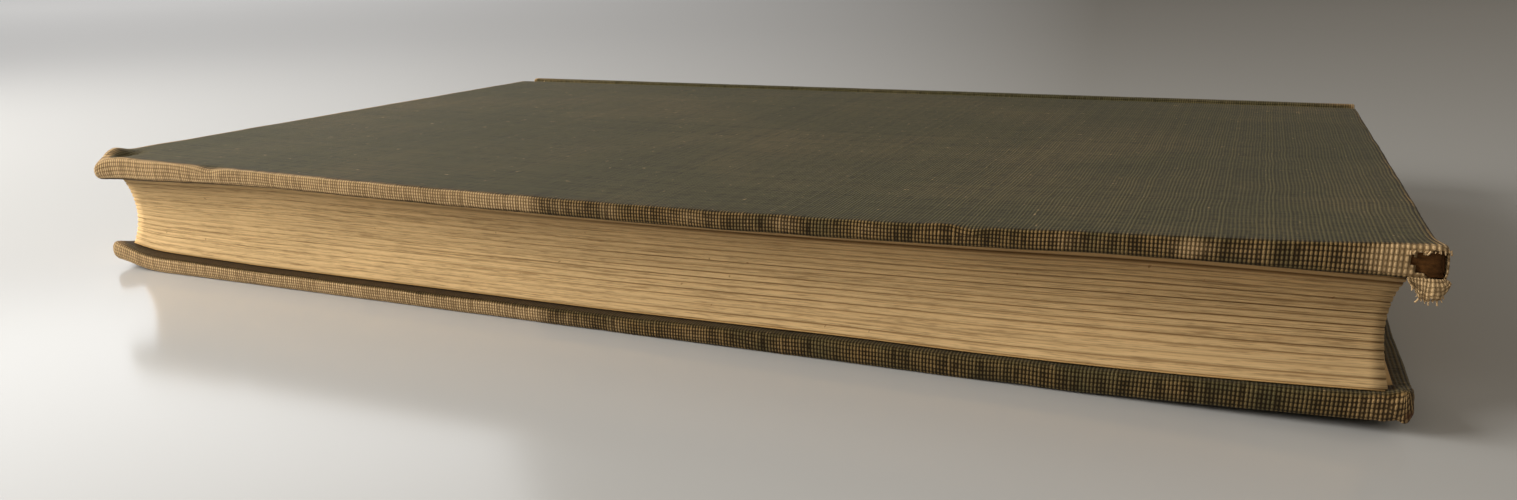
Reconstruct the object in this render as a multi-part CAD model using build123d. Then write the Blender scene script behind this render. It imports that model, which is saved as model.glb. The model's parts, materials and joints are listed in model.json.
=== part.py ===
"""A cloth-covered hardback book, lying closed on its back cover.

X runs from tail (-) to head (+), Y from the fore-edge (-) to the spine (+), Z up. The origin is
the centre of the footprint, on the face the book lies on. Lengths are in millimetres.

The book is case-bound. A sewn, rounded and backed block of leaves hangs between two boards by its
endpapers and a strip of gauze, and one sheet of cloth covers both boards and a card strip down the
spine. The boards have curled a little with age, most of all at the head of the fore-edge.
"""

import os
from math import asin, degrees, sqrt

from build123d import *

# Leaves
PAGE_HEIGHT = 229.0  # tail to head
PAGE_WIDTH = 153.5  # fold to fore-edge
BLOCK_THICKNESS = 15.72  # all the leaves, at the joint
FORE_EDGE_HOLLOW = 4.2  # depth of the hollow fore-edge
SPINE_ROUND = 5.2  # how far the rounded back stands out past its shoulders
SHOULDER_RISE = 2.0  # how far the backed shoulders stand above the leaves
SHOULDER_RUN = 1.2  # how far the shoulder's face leans over

# Case
SQUARE = 3.5  # board past the leaves at head and tail
FORE_SQUARE = 3.5  # board past the leaves at the fore-edge
BOARD = 2.2  # board thickness
CLOTH = 0.3  # covering cloth thickness
TURN_IN = 15.0  # width of cloth folded over onto the inside
TAIL_CORNER = 2.0  # worn plan radius of each board's outer corner at the tail
HEAD_CORNER = 1.2  # the same at the head
JOINT_FLOOR = 5.0  # flat floor of the groove between board and spine
GROOVE_SETBACK = 1.9  # groove floor's end, before the shoulder's tip
RIDGE_SETBACK = 0.9  # start of the ridge, before the shoulder's tip
RIDGE_RADIUS = 0.8  # edge of the ridge beside the groove
CROWN_RADIUS = 2.0  # edge of the ridge where the spine turns down
GROOVE_RADIUS = 0.6  # inside corner of the groove
INLAY = 0.6  # card strip in the spine
INLAY_SETBACK = 1.0  # its edges, inside the covers' outer faces
HOLLOW = 0.5  # free space behind the card strip

# Papers and linings
PAPER = 0.12  # endpaper thickness
PASTEDOWN_MARGIN = 2.4  # cloth left showing beyond the pastedown at head and tail
PASTEDOWN_FORE_MARGIN = 4.2  # the same at the fore-edge
MULL = 0.1  # gauze thickness
MULL_SETBACK = 3.0  # its ends, inside the turned-in cloth
MULL_FLANGE = 30.0  # gauze glued to each board
LINER = 0.2  # kraft paper lining on the back
LINER_SETBACK = 0.9  # its edges, inside the shoulders' tips
LINER_SHORT = 0.5  # how far the lining stops short of each end
BAND_BEAD = 1.1  # radius of a headband's bead
BAND_SEAT = 0.9  # bead's centre, past the ends of the leaves
BAND_APRON = 10.0  # glued tail of a headband, down the back
BAND_SETBACK = 2.4  # its ends, inside the shoulders' tips

# Shape that age has given the boards
FRONT_CURL_HEAD = 3.05  # rise of the front board's fore-edge corner at the head
FRONT_CURL_TAIL = 1.3  # the same at the tail
BACK_CURL_HEAD = 1.85  # rise of the back board's fore-edge corner at the head
BACK_FLAT_TO = 55.0  # the back board lies flat up to this X

# The cloth is worn through at the front board's head corner
BARE_LENGTH = 3.6  # along the fore-edge
BARE_DEPTH = 3.0  # back from the fore-edge
BARE_LIP = 0.2  # board face left covered above and below

# Clearances
LEAF_GAP = 0.1  # pastedown to flyleaf
HINGE_SPLIT = 0.1  # each side of the hinge plane
AXIS_LIFT = 0.2  # hinge axis, outside the cover's face

# Everything below follows from the sizes above.
COVER_STACK = 2 * CLOTH + BOARD
THICKNESS = BLOCK_THICKNESS + 2 * (COVER_STACK + 2 * PAPER + LEAF_GAP)
MIDDLE = THICKNESS / 2
HEIGHT = PAGE_HEIGHT + 2 * SQUARE
HALF = HEIGHT / 2
BLOCK_HALF = PAGE_HEIGHT / 2
MULL_HALF = HALF - TURN_IN - MULL_SETBACK
BACK_STACK = MULL + LINER + HOLLOW + INLAY + CLOTH
WIDTH = FORE_SQUARE + FORE_EDGE_HOLLOW + PAGE_WIDTH + BACK_STACK

FORE_Y = -WIDTH / 2
LEAF_Y = FORE_Y + FORE_SQUARE
APEX_Y = LEAF_Y + FORE_EDGE_HOLLOW + PAGE_WIDTH
SHOULDER_Y = APEX_Y - SPINE_ROUND
RIDGE_Y = SHOULDER_Y - RIDGE_SETBACK
GROOVE_END_Y = SHOULDER_Y - GROOVE_SETBACK
BOARD_END_Y = GROOVE_END_Y - JOINT_FLOOR - CLOTH
HINGE_Y = GROOVE_END_Y - JOINT_FLOOR / 2

BACK_CHORD = BLOCK_THICKNESS / 2 + SHOULDER_RISE
INLAY_WIDTH = THICKNESS - 2 * INLAY_SETBACK
LINER_WIDTH = 2 * (BACK_CHORD - LINER_SETBACK)
BAND_WIDTH = 2 * (BACK_CHORD - BAND_SETBACK)
BACK_RADIUS = (BACK_CHORD**2 + SPINE_ROUND**2) / (2 * SPINE_ROUND)
BACK_CENTRE_Y = APEX_Y - BACK_RADIUS
MULL_RADIUS = BACK_RADIUS + MULL
LINER_RADIUS = MULL_RADIUS + LINER
INLAY_RADIUS = LINER_RADIUS + HOLLOW
SPINE_RADIUS = BACK_RADIUS + BACK_STACK
BLOCK_LOW = MIDDLE - BLOCK_THICKNESS / 2
BLOCK_HIGH = MIDDLE + BLOCK_THICKNESS / 2
JOINT_MULL = (CLOTH + BOARD, CLOTH + BOARD + MULL)  # depth of the gauze across the joint
JOINT_PAPER = (JOINT_MULL[1], JOINT_MULL[1] + PAPER)  # depth of the endpaper there
JOINT_MULL_SPAN = (JOINT_MULL[1], THICKNESS - JOINT_MULL[1])  # heights between the two wings
SIDES = ("front", "back")
FAR = 2 * WIDTH  # longer than anything that is cut


# ---------------------------------------------------------------- bent layers


def curl(side, x):
    """Rise of a board's fore-edge above flat at a place along its height."""
    if side == "front":
        rise = FRONT_CURL_TAIL if x < 0 else FRONT_CURL_HEAD
        return rise * (x / HALF) ** 2
    if x <= BACK_FLAT_TO:
        return 0.0
    return BACK_CURL_HEAD * ((x - BACK_FLAT_TO) / (HALF - BACK_FLAT_TO)) ** 2


def fade(y):
    """Share of the curl at a place between the fore-edge, 1, and the board's spine edge, 0."""
    return max(0.0, (BOARD_END_Y - y) / (BOARD_END_Y - FORE_Y))


def bent_edge(side, x_from, x_to, y, z):
    """Edge that follows a board's curl. The curl is quadratic, so three poles hold it exactly."""
    x_mid = (x_from + x_to) / 2
    rise_from, rise_mid, rise_to = (curl(side, x) for x in (x_from, x_mid, x_to))
    poles = (rise_from, 2 * rise_mid - (rise_from + rise_to) / 2, rise_to)
    return Bezier(*[(x, y, z + fade(y) * r) for x, r in zip((x_from, x_mid, x_to), poles)])


def bent_section(x_from, x_to, y, low, high):
    """Upright section of a bent layer at y. low and high are each a side and a height."""
    floor = bent_edge(low[0], x_from, x_to, y, low[1])
    roof = bent_edge(high[0], x_from, x_to, y, high[1])
    head = Line(floor @ 1, roof @ 1)
    tail = Line(roof @ 0, floor @ 0)
    return Wire([floor, head, roof, tail])


def is_flat(side, x_from, x_to):
    """Whether a board lies flat all the way between two places."""
    return side == "back" and max(x_from, x_to) <= BACK_FLAT_TO


def bent_layer(x_span, y_span, low, high):
    """Solid between two heights, each following one board's curl from fore-edge to spine edge."""
    breaks = [x for x in (0.0, BACK_FLAT_TO) if x_span[0] < x < x_span[1]]
    stops = sorted({x_span[0], *breaks, x_span[1]})
    layer = None
    for x_from, x_to in zip(stops, stops[1:]):
        if is_flat(low[0], x_from, x_to) and is_flat(high[0], x_from, x_to):
            piece = block((x_from, x_to), y_span, (low[1], high[1]))
        else:
            ends = [bent_section(x_from, x_to, y, low, high) for y in y_span]
            piece = Solid.make_loft(ends, ruled=True)
        layer = piece if layer is None else layer + piece
    return layer


def block(x_span, y_span, z_span):
    """Upright rectangular solid between three pairs of limits."""
    size = [span[1] - span[0] for span in (x_span, y_span, z_span)]
    centre = [(span[0] + span[1]) / 2 for span in (x_span, y_span, z_span)]
    return Pos(*centre) * Box(*size)


def depth_levels(side, start, end):
    """Low and high ends of a layer that lies from start to end inside a cover's outer face."""
    if side == "front":
        return (side, THICKNESS - end), (side, THICKNESS - start)
    return (side, start), (side, end)


def cover_layer(side, x_half, y_span, start, end):
    """Bent layer of a cover, given by its depth inside the cover's outer face."""
    return bent_layer((-x_half, x_half), y_span, *depth_levels(side, start, end))


def round_corners(layer, x_half, y, spare):
    """Rounds a cover layer's two upright corners at the fore-edge, spare outside the board's."""
    for x, radius in ((-x_half, TAIL_CORNER), (x_half, HEAD_CORNER)):
        upright = layer.edges().filter_by(Axis.Z)
        corner = [e for e in upright if abs(e.center().X - x) + abs(e.center().Y - y) < 0.01]
        layer = fillet(corner, radius + spare)
    return layer


# ---------------------------------------------------------------- sections across the spine


def prism(sketch, x_from, x_to):
    """Solid with a section drawn in the Y-Z plane, from one X to another."""
    return Pos(x_from, 0, 0) * extrude(Plane.YZ * sketch, x_to - x_from)


def window(y_from, y_to, z_from, z_to):
    """Rectangle in the Y-Z plane."""
    centre = ((y_from + y_to) / 2, (z_from + z_to) / 2)
    return Pos(*centre) * Rectangle(y_to - y_from, z_to - z_from)


def depth_window(side, y_from, y_to, start, end):
    """Rectangle in the Y-Z plane, from start to end inside a cover's outer face."""
    (_, low), (_, high) = depth_levels(side, start, end)
    return window(y_from, y_to, low, high)


def back_arc(radius, z):
    """Place on a circle about the back's centre at a height."""
    return (BACK_CENTRE_Y + sqrt(radius**2 - (z - MIDDLE) ** 2), z)


def block_back():
    """Section of the leaves from the boards' spine edges round the backed spine."""
    tip = (SHOULDER_Y, BLOCK_HIGH + SHOULDER_RISE)
    foot = (SHOULDER_Y - SHOULDER_RUN, BLOCK_HIGH)
    start = (BOARD_END_Y, BLOCK_HIGH)
    low = [(y, THICKNESS - z) for y, z in (tip, foot, start)]
    path = Polyline(start, foot, tip)
    path += ThreePointArc(tip, (APEX_Y, MIDDLE), low[0])
    path += Polyline(*low, start)
    return make_face(path)


def case_back():
    """Outline of the case from left of the hinge, over the groove and ridge, round the spine."""
    floor = THICKNESS - BOARD
    crown = back_arc(SPINE_RADIUS, THICKNESS)
    high = [(HINGE_Y - JOINT_FLOOR, floor), (GROOVE_END_Y, floor), (RIDGE_Y, THICKNESS), crown]
    low = [(y, THICKNESS - z) for y, z in high]
    path = Polyline(*high)
    path += ThreePointArc(crown, (BACK_CENTRE_Y + SPINE_RADIUS, MIDDLE), low[-1])
    path += Polyline(*reversed(low), high[0])
    outline = make_face(path)
    for place, radius in ((1, GROOVE_RADIUS), (2, RIDGE_RADIUS), (3, CROWN_RADIUS)):
        for y, z in (high[place], low[place]):
            near = [v for v in outline.vertices() if abs(v.X - y) + abs(v.Y - z) < 0.01]
            outline = fillet(near, radius)
    return outline


def spine_side(sketch):
    """The part of a section on the spine's side of the hinge plane."""
    return sketch & window(HINGE_Y + HINGE_SPLIT, FAR, -FAR, FAR)


def ring(inner, outer, width):
    """Curved strip about the back's centre, between two radii, as wide as width straight across."""
    strip = Pos(BACK_CENTRE_Y, MIDDLE) * (Circle(outer) - Circle(inner))
    return strip & window(BACK_CENTRE_Y, FAR, MIDDLE - width / 2, MIDDLE + width / 2)


# ---------------------------------------------------------------- leaves and linings


def make_text_block():
    """Leaves: bent at the fore-edge with the boards, hollow there, and rounded at the back."""
    low, high = ("back", BLOCK_LOW), ("front", BLOCK_HIGH)
    leaves = bent_layer((-BLOCK_HALF, BLOCK_HALF), (LEAF_Y, BOARD_END_Y), low, high)
    leaves += prism(block_back(), -BLOCK_HALF, BLOCK_HALF)
    half = BLOCK_THICKNESS / 2
    radius = (half**2 + FORE_EDGE_HOLLOW**2) / (2 * FORE_EDGE_HOLLOW)
    centre = (0, LEAF_Y + FORE_EDGE_HOLLOW - radius, MIDDLE)
    return leaves - Pos(*centre) * Rot(0, 90, 0) * Cylinder(radius, HEIGHT)


def make_flyleaf(side):
    """Free half of an endpaper, tipped to the outermost leaf, and the fold up to the joint."""
    start = COVER_STACK + PAPER + LEAF_GAP
    leaf = cover_layer(side, BLOCK_HALF, (LEAF_Y, BOARD_END_Y), start, start + PAPER)
    foot = SHOULDER_Y - SHOULDER_RUN
    tipped = depth_window(side, BOARD_END_Y, foot, start, start + PAPER)
    fold = depth_window(side, foot - PAPER, foot, JOINT_PAPER[0], start)
    leaf += prism(tipped + fold, -BLOCK_HALF, BLOCK_HALF)
    y_span = (HINGE_Y + HINGE_SPLIT, foot - PAPER)
    return leaf + joint_paper(side, BLOCK_HALF, y_span)


def joint_paper(side, x_half, y_span):
    """Endpaper across the joint: on the gauze, and stepping up over the turned-in cloth."""
    inner = HALF - TURN_IN
    paper = prism(depth_window(side, *y_span, *JOINT_PAPER), -inner, inner)
    raised = depth_window(side, *y_span, COVER_STACK, COVER_STACK + PAPER)
    step = depth_window(side, *y_span, JOINT_PAPER[0], COVER_STACK + PAPER)
    for end in (-1, 1):
        x_outer, x_inner, x_step = (end * x for x in (x_half, inner, inner - PAPER))
        paper += prism(raised, min(x_outer, x_inner), max(x_outer, x_inner))
        paper += prism(step, min(x_step, x_inner), max(x_step, x_inner))
    return paper


def make_spine_mull():
    """Gauze over the back and shoulders, with a wing at each side as far as the hinge plane."""
    back = block_back()
    skin = offset(back, MULL) - back
    skin &= window(SHOULDER_Y - SHOULDER_RUN, FAR, -FAR, FAR)
    skin -= window(-FAR, SHOULDER_Y - MULL, *JOINT_MULL_SPAN)
    for side in SIDES:
        wing = depth_window(side, HINGE_Y + HINGE_SPLIT, SHOULDER_Y, *JOINT_MULL)
        skin += wing - back
    return prism(skin, -MULL_HALF, MULL_HALF)


def make_spine_liner():
    """Kraft paper glued over the gauze, down the rounded back."""
    reach = BLOCK_HALF - LINER_SHORT
    return prism(ring(MULL_RADIUS, LINER_RADIUS, LINER_WIDTH), -reach, reach)


def make_headband(end):
    """Corded band at the head, end 1, or the tail, end -1, with its apron glued down the back."""
    centreline = BACK_RADIUS - BAND_BEAD
    sweep = degrees(asin(BAND_WIDTH / 2 / centreline))
    centre = Pos(end * (BLOCK_HALF + BAND_SEAT), BACK_CENTRE_Y, MIDDLE)
    start = Rot(-sweep, 0, 0) * Pos(0, centreline, 0) * Circle(BAND_BEAD)
    bead = centre * revolve(start, Axis.X, 2 * sweep)
    leaves = block((-BLOCK_HALF, BLOCK_HALF), (-FAR, FAR), (-FAR, FAR))
    tail = end * (BLOCK_HALF - BAND_APRON)
    top = end * (BLOCK_HALF + BAND_SEAT)
    apron = prism(ring(BACK_RADIUS, MULL_RADIUS, BAND_WIDTH), min(tail, top), max(tail, top))
    root = prism(ring(centreline, MULL_RADIUS, BAND_WIDTH), end * BLOCK_HALF, top)
    return bead - leaves + root + apron


# ---------------------------------------------------------------- case


def make_spine_inlay():
    """Card strip that stiffens the case's spine."""
    card = ring(INLAY_RADIUS, INLAY_RADIUS + INLAY, INLAY_WIDTH)
    return prism(card, -HALF + CLOTH, HALF - CLOTH)


def make_spine_cloth():
    """Covering cloth over the spine and both ridges, turned in over the card at head and tail."""
    outline = case_back()
    skin = spine_side(outline - offset(outline, -CLOTH))
    lining = ring(INLAY_RADIUS - CLOTH, INLAY_RADIUS, INLAY_WIDTH)
    rim = ring(INLAY_RADIUS - CLOTH, SPINE_RADIUS - CLOTH / 2, INLAY_WIDTH)
    cloth = prism(skin, -HALF, HALF)
    for end in (-1, 1):
        x_rim, x_card, x_inner = (end * x for x in (HALF, HALF - CLOTH, HALF - TURN_IN))
        cloth += prism(rim, min(x_rim, x_card), max(x_rim, x_card))
        cloth += prism(lining, min(x_rim, x_inner), max(x_rim, x_inner))
    for side in SIDES:
        cloth += joint_turn_ins(side, HINGE_Y + HINGE_SPLIT, GROOVE_END_Y)
    return cloth


def make_board(side):
    """Pulp board, curled with age, with worn corners."""
    y_span = (FORE_Y + CLOTH, BOARD_END_Y)
    board = cover_layer(side, HALF - CLOTH, y_span, CLOTH, CLOTH + BOARD)
    return round_corners(board, HALF - CLOTH, y_span[0], 0)


def joint_turn_ins(side, y_from, y_to):
    """Cloth folded over inside the joint at head and tail."""
    fold = depth_window(side, y_from, y_to, CLOTH + BOARD, COVER_STACK)
    return prism(fold, -HALF, -HALF + TURN_IN) + prism(fold, HALF - TURN_IN, HALF)


def joint_cloth(side):
    """Cloth down the board's spine edge and along half of the groove's floor."""
    y_end = HINGE_Y - HINGE_SPLIT
    floor = depth_window(side, BOARD_END_Y, y_end, BOARD, BOARD + CLOTH)
    wall = depth_window(side, BOARD_END_Y, BOARD_END_Y + CLOTH, 0, BOARD + CLOTH)
    return prism(floor + wall, -HALF, HALF) + joint_turn_ins(side, BOARD_END_Y, y_end)


def bare_corner():
    """Space over the front board's head corner where the cloth has worn away."""
    rise = curl("front", HALF)
    z_span = (THICKNESS - CLOTH - BOARD + BARE_LIP + rise, THICKNESS - CLOTH - BARE_LIP + rise)
    x_span = (HALF - BARE_LENGTH, HALF + BARE_LENGTH)
    return block(x_span, (FORE_Y - BARE_DEPTH, FORE_Y + BARE_DEPTH), z_span)


def make_cover_cloth(side):
    """Cloth over a board's face, round its three outer edges and turned in on its inside."""
    y_span = (FORE_Y, BOARD_END_Y)
    wrapped = cover_layer(side, HALF, y_span, 0, COVER_STACK)
    wrapped = round_corners(wrapped, HALF, FORE_Y, CLOTH)
    opening_y = (FORE_Y + TURN_IN, BOARD_END_Y + CLOTH)
    opening = cover_layer(side, HALF - TURN_IN, opening_y, COVER_STACK / 2, 2 * COVER_STACK)
    cloth = wrapped - make_board(side) - opening + joint_cloth(side)
    return cloth - bare_corner() if side == "front" else cloth


def make_mull_flange(side):
    """Wing of the gauze that is glued to a board, under the pastedown."""
    y_from = BOARD_END_Y - MULL_FLANGE
    wing = cover_layer(side, MULL_HALF, (y_from, BOARD_END_Y), *JOINT_MULL)
    joint = depth_window(side, BOARD_END_Y, HINGE_Y - HINGE_SPLIT, *JOINT_MULL)
    return wing + prism(joint, -MULL_HALF, MULL_HALF)


def make_pastedown(side):
    """Glued half of an endpaper: over the turn-ins, and dipping onto the board between them."""
    x_half, y_from = HALF - PASTEDOWN_MARGIN, FORE_Y + PASTEDOWN_FORE_MARGIN
    inner_x, inner_y = HALF - TURN_IN, FORE_Y + TURN_IN
    board_face = CLOTH + BOARD
    deep = COVER_STACK + CLOTH

    def slab(x_reach, y_start, start, end):
        return cover_layer(side, x_reach, (y_start, BOARD_END_Y), start, end)

    sheet = slab(x_half, y_from, board_face, COVER_STACK + PAPER)
    over = slab(HALF, FORE_Y, CLOTH, COVER_STACK) - slab(inner_x, inner_y, 0, deep)
    dip = slab(inner_x - PAPER, inner_y + PAPER, JOINT_PAPER[1], deep)
    glued = sheet - over - dip - make_mull_flange(side)
    return glued + joint_paper(side, x_half, (BOARD_END_Y, HINGE_Y - HINGE_SPLIT))


# ---------------------------------------------------------------- output


def make_parts():
    """Every piece of the book, by name."""
    parts = {
        "text_block": make_text_block(),
        "spine_mull": make_spine_mull(),
        "spine_liner": make_spine_liner(),
        "head_headband": make_headband(1),
        "tail_headband": make_headband(-1),
        "spine_inlay": make_spine_inlay(),
        "spine_cloth": make_spine_cloth(),
    }
    for side in SIDES:
        parts[f"{side}_flyleaf"] = make_flyleaf(side)
        parts[f"{side}_board"] = make_board(side)
        parts[f"{side}_cover_cloth"] = make_cover_cloth(side)
        parts[f"{side}_mull_flange"] = make_mull_flange(side)
        parts[f"{side}_pastedown"] = make_pastedown(side)
    return parts


def main():
    os.makedirs("parts", exist_ok=True)
    for name, solid in make_parts().items():
        export_step(solid, f"parts/{name}.step")
    print(f"hinge axes: Y {HINGE_Y:.4f}, Z {THICKNESS + AXIS_LIFT:.4f} and {-AXIS_LIFT:.4f}")


main()
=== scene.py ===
"""An old cloth-covered book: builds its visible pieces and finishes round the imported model."""

import json
import math
import random

import bmesh
import bpy
from mathutils import Matrix, Vector, noise


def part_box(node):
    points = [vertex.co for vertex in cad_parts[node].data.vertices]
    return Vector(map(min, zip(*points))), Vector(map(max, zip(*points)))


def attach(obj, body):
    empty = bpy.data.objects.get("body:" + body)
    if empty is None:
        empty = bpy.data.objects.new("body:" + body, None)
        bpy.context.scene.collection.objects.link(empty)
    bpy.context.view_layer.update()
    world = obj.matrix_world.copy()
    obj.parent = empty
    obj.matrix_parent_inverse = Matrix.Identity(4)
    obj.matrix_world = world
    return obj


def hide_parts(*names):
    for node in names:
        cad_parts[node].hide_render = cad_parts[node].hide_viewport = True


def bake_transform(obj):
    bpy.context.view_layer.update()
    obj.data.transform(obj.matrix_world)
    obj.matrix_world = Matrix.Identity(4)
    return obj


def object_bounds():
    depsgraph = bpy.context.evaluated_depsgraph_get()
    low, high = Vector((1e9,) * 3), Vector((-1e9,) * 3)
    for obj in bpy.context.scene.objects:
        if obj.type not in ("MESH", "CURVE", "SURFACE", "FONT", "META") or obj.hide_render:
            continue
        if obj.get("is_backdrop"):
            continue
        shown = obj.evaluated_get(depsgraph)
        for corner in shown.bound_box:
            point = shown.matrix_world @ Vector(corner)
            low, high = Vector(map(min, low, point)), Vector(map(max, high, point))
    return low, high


bl_info = {
    "name": "Old cloth-covered book",
    "version": (1, 0, 0),
    "blender": (4, 5, 0),
    "location": "3D View > Sidebar > Book",
    "description": "Builds the cloth, leaves, papers, boards and headbands of an old book",
    "category": "Object",
}

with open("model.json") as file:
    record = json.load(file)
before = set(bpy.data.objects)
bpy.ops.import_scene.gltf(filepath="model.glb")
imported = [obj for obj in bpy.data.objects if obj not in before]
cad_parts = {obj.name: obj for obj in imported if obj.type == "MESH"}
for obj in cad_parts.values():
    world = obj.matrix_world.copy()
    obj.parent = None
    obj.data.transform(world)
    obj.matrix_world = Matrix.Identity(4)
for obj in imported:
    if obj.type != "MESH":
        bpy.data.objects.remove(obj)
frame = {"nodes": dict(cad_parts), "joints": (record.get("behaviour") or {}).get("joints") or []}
CAD_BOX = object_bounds()

MM = 0.001

# ---------------------------------------------------------------- sizes read from the frame

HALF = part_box("front_cover_cloth")[1].x  # half the covers' height, tail to head
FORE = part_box("front_cover_cloth")[0].y  # the covers' fore-edge
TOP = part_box("spine_cloth")[1].z  # outer face of the front cover where it is flat
MIDDLE = TOP / 2
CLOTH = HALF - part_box("front_board")[1].x  # thickness of the covering cloth
BOARD_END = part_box("front_board")[1].y  # the boards' spine edge
BOARD_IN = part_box("back_mull_flange")[0].z  # depth of a board's inner face
TURN_IN_FACE = BOARD_IN + CLOTH  # depth of the turned-in cloth's face
JOINT_DEPTH = BOARD_IN - CLOTH  # depth of the groove's floor
HINGE_Y = frame["joints"][0]["pos_m"][1]
WALL_Y = BOARD_END + CLOTH  # the groove's side, against the board
GROOVE_END = 2 * HINGE_Y - WALL_Y  # the groove's side, against the ridge
PASTE_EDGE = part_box("front_pastedown")[1].x  # half the pastedown's height
PASTE_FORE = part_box("front_pastedown")[0].y
MULL_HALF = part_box("front_mull_flange")[1].x
MULL_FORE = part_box("front_mull_flange")[0].y
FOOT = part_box("front_flyleaf")[1].y  # fold of the endpapers, at the foot of the shoulder
LEAF_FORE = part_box("text_block")[0].y
LEAF_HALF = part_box("text_block")[1].x
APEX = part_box("text_block")[1].y  # the leaves' rounded back
SHOULDER_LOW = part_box("text_block")[0].z  # tip of the lower shoulder
SPINE_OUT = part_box("spine_cloth")[1].y

PAPER = 0.12 * MM
CARD = 0.6 * MM  # thickness of the spine's card
LEAF_GAP = 0.1 * MM  # pastedown to flyleaf
BLOCK_LOW = TURN_IN_FACE + 2 * PAPER + LEAF_GAP
BLOCK_HIGH = TOP - BLOCK_LOW
BACK_FLAT_TO = 55 * MM  # the back board lies flat up to this X
TURN_IN = 15 * MM  # width of the cloth folded over onto the inside
TAIL_CORNER = 2.3 * MM  # plan radius of the covers' corners
HEAD_CORNER = 1.5 * MM

# What age has done to the covers, in places that the model leaves plain
BACK_TAIL_TURN_UP = 1.7 * MM  # rise of the back cover's tail corner
FRONT_TAIL_SWELL = 2.0 * MM  # growth in thickness of the front cover's tail corner
FRONT_HEAD_SWELL = 1.6 * MM  # the same at its head corner
EDGE_SWELL = 0.15 * MM  # the same along a whole fore-edge
BACK_SWELL = 0.6 * MM  # the same at each end of the back cover's fore-edge
HEAD_BURST = 1.5 * MM  # how far the front cover's head corner has spread


def clamp(value, low=0.0, high=1.0):
    return max(low, min(high, value))


def smooth(share):
    """A share from 0 to 1, eased at both ends."""
    return share * share * (3 - 2 * share)


def near(value, centre, width):
    """1 at centre, fading out over width."""
    return math.exp(-(((value - centre) / width) ** 2))


def spot(x, y, centre_x, centre_y, wide, deep=None):
    """1 at a place, fading out over wide along X and deep along Y."""
    return near(x, centre_x, wide) * near(y, centre_y, deep or wide)


def ripple(x, y, wavelength, seed=0.0):
    """Smooth noise from about -1 to 1."""
    return noise.noise(Vector((x / wavelength, y / wavelength, seed)))


def strip_centre(node, thickness):
    """Y of the centre of a curved strip, from its box."""
    low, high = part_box(node)
    half_width = (high.z - low.z) / 2
    drop = high.y - low.y
    radius = (half_width**2 + drop**2 - thickness**2) / (2 * (drop - thickness))
    return high.y - radius


BACK_CENTRE = strip_centre("spine_inlay", CARD)
SPINE_RADIUS = SPINE_OUT - BACK_CENTRE
BACK_RADIUS = APEX - BACK_CENTRE
RIDGE_Y = GROOVE_END + 1.0 * MM  # start of the ridge beside the groove


def fade(y):
    """Share of a board's curl at a place, from 1 at the fore-edge to 0 at its spine edge."""
    return max(0.0, (BOARD_END - y) / (BOARD_END - FORE))


def past(x, start):
    """0 up to start, then rising to 1 at the covers' end."""
    return max(0.0, (x - start) / (HALF - start))


def front_tail(x, y):
    return (x / HALF) ** 2 * fade(y) if x < 0 else 0.0


def front_head(x, y):
    return (x / HALF) ** 2 * fade(y) if x > 0 else 0.0


def back_head(x, y):
    return past(x, BACK_FLAT_TO) ** 2 * fade(y)


def rise(node, level, shape):
    """Height of a curl, read from the CAD board that has it."""
    places = [v.co for v in frame["nodes"][node].data.vertices]
    return max((p.z - level) / shape(p.x, p.y) for p in places if shape(p.x, p.y) > 0.5)


FRONT_TAIL_RISE = rise("front_board", TOP - CLOTH, front_tail)
FRONT_HEAD_RISE = rise("front_board", TOP - CLOTH, front_head)
BACK_HEAD_RISE = rise("back_board", BOARD_IN, back_head)


def lift(side, x, y):
    """How far age has raised a cover at a place."""
    if side == "back":
        turned_up = BACK_TAIL_TURN_UP * spot(x, y, -HALF, FORE, 7 * MM)
        return BACK_HEAD_RISE * back_head(x, y) + turned_up
    return FRONT_TAIL_RISE * front_tail(x, y) + FRONT_HEAD_RISE * front_head(x, y)


def swelling(side, x, y):
    """How much thicker a cover has grown at its worn corners, where its plies part."""
    inside = max(y, FORE)
    if side == "back":
        head = BACK_SWELL * smooth(clamp((x + 8 * MM) / (56 * MM))) + EDGE_SWELL * past(x, 60 * MM)
        tail = BACK_SWELL * past(-x, 80 * MM)
        return (head + tail) * near(inside, FORE, 25 * MM)
    tail = FRONT_TAIL_SWELL * past(-x, 70 * MM) ** 1.3
    head = FRONT_HEAD_SWELL * past(x, 78 * MM) ** 1.5
    return (EDGE_SWELL + tail + head) * near(inside, FORE, 30 * MM)


def under_cover(side, x, y, depth):
    """Point at a depth inside a cover's outer face."""
    rise_here = lift(side, x, y)
    share = clamp(depth / TURN_IN_FACE)
    if side == "front":
        x += HEAD_BURST * spot(x, y, HALF, FORE, 2.6 * MM, 3.0 * MM) * (0.75 + 0.25 * share)
    depth += swelling(side, x, y) * share
    z = TOP - depth if side == "front" else depth
    return (x, y, z + rise_here)


# ---------------------------------------------------------------- settings


def colour(name, note, value):
    return bpy.props.FloatVectorProperty(
        name=name, description=note, subtype="COLOR", size=3, min=0, max=1, default=value
    )


def length(name, note, value):
    return bpy.props.FloatProperty(
        name=name, description=note, unit="LENGTH", min=0, precision=6, default=value
    )


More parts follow.
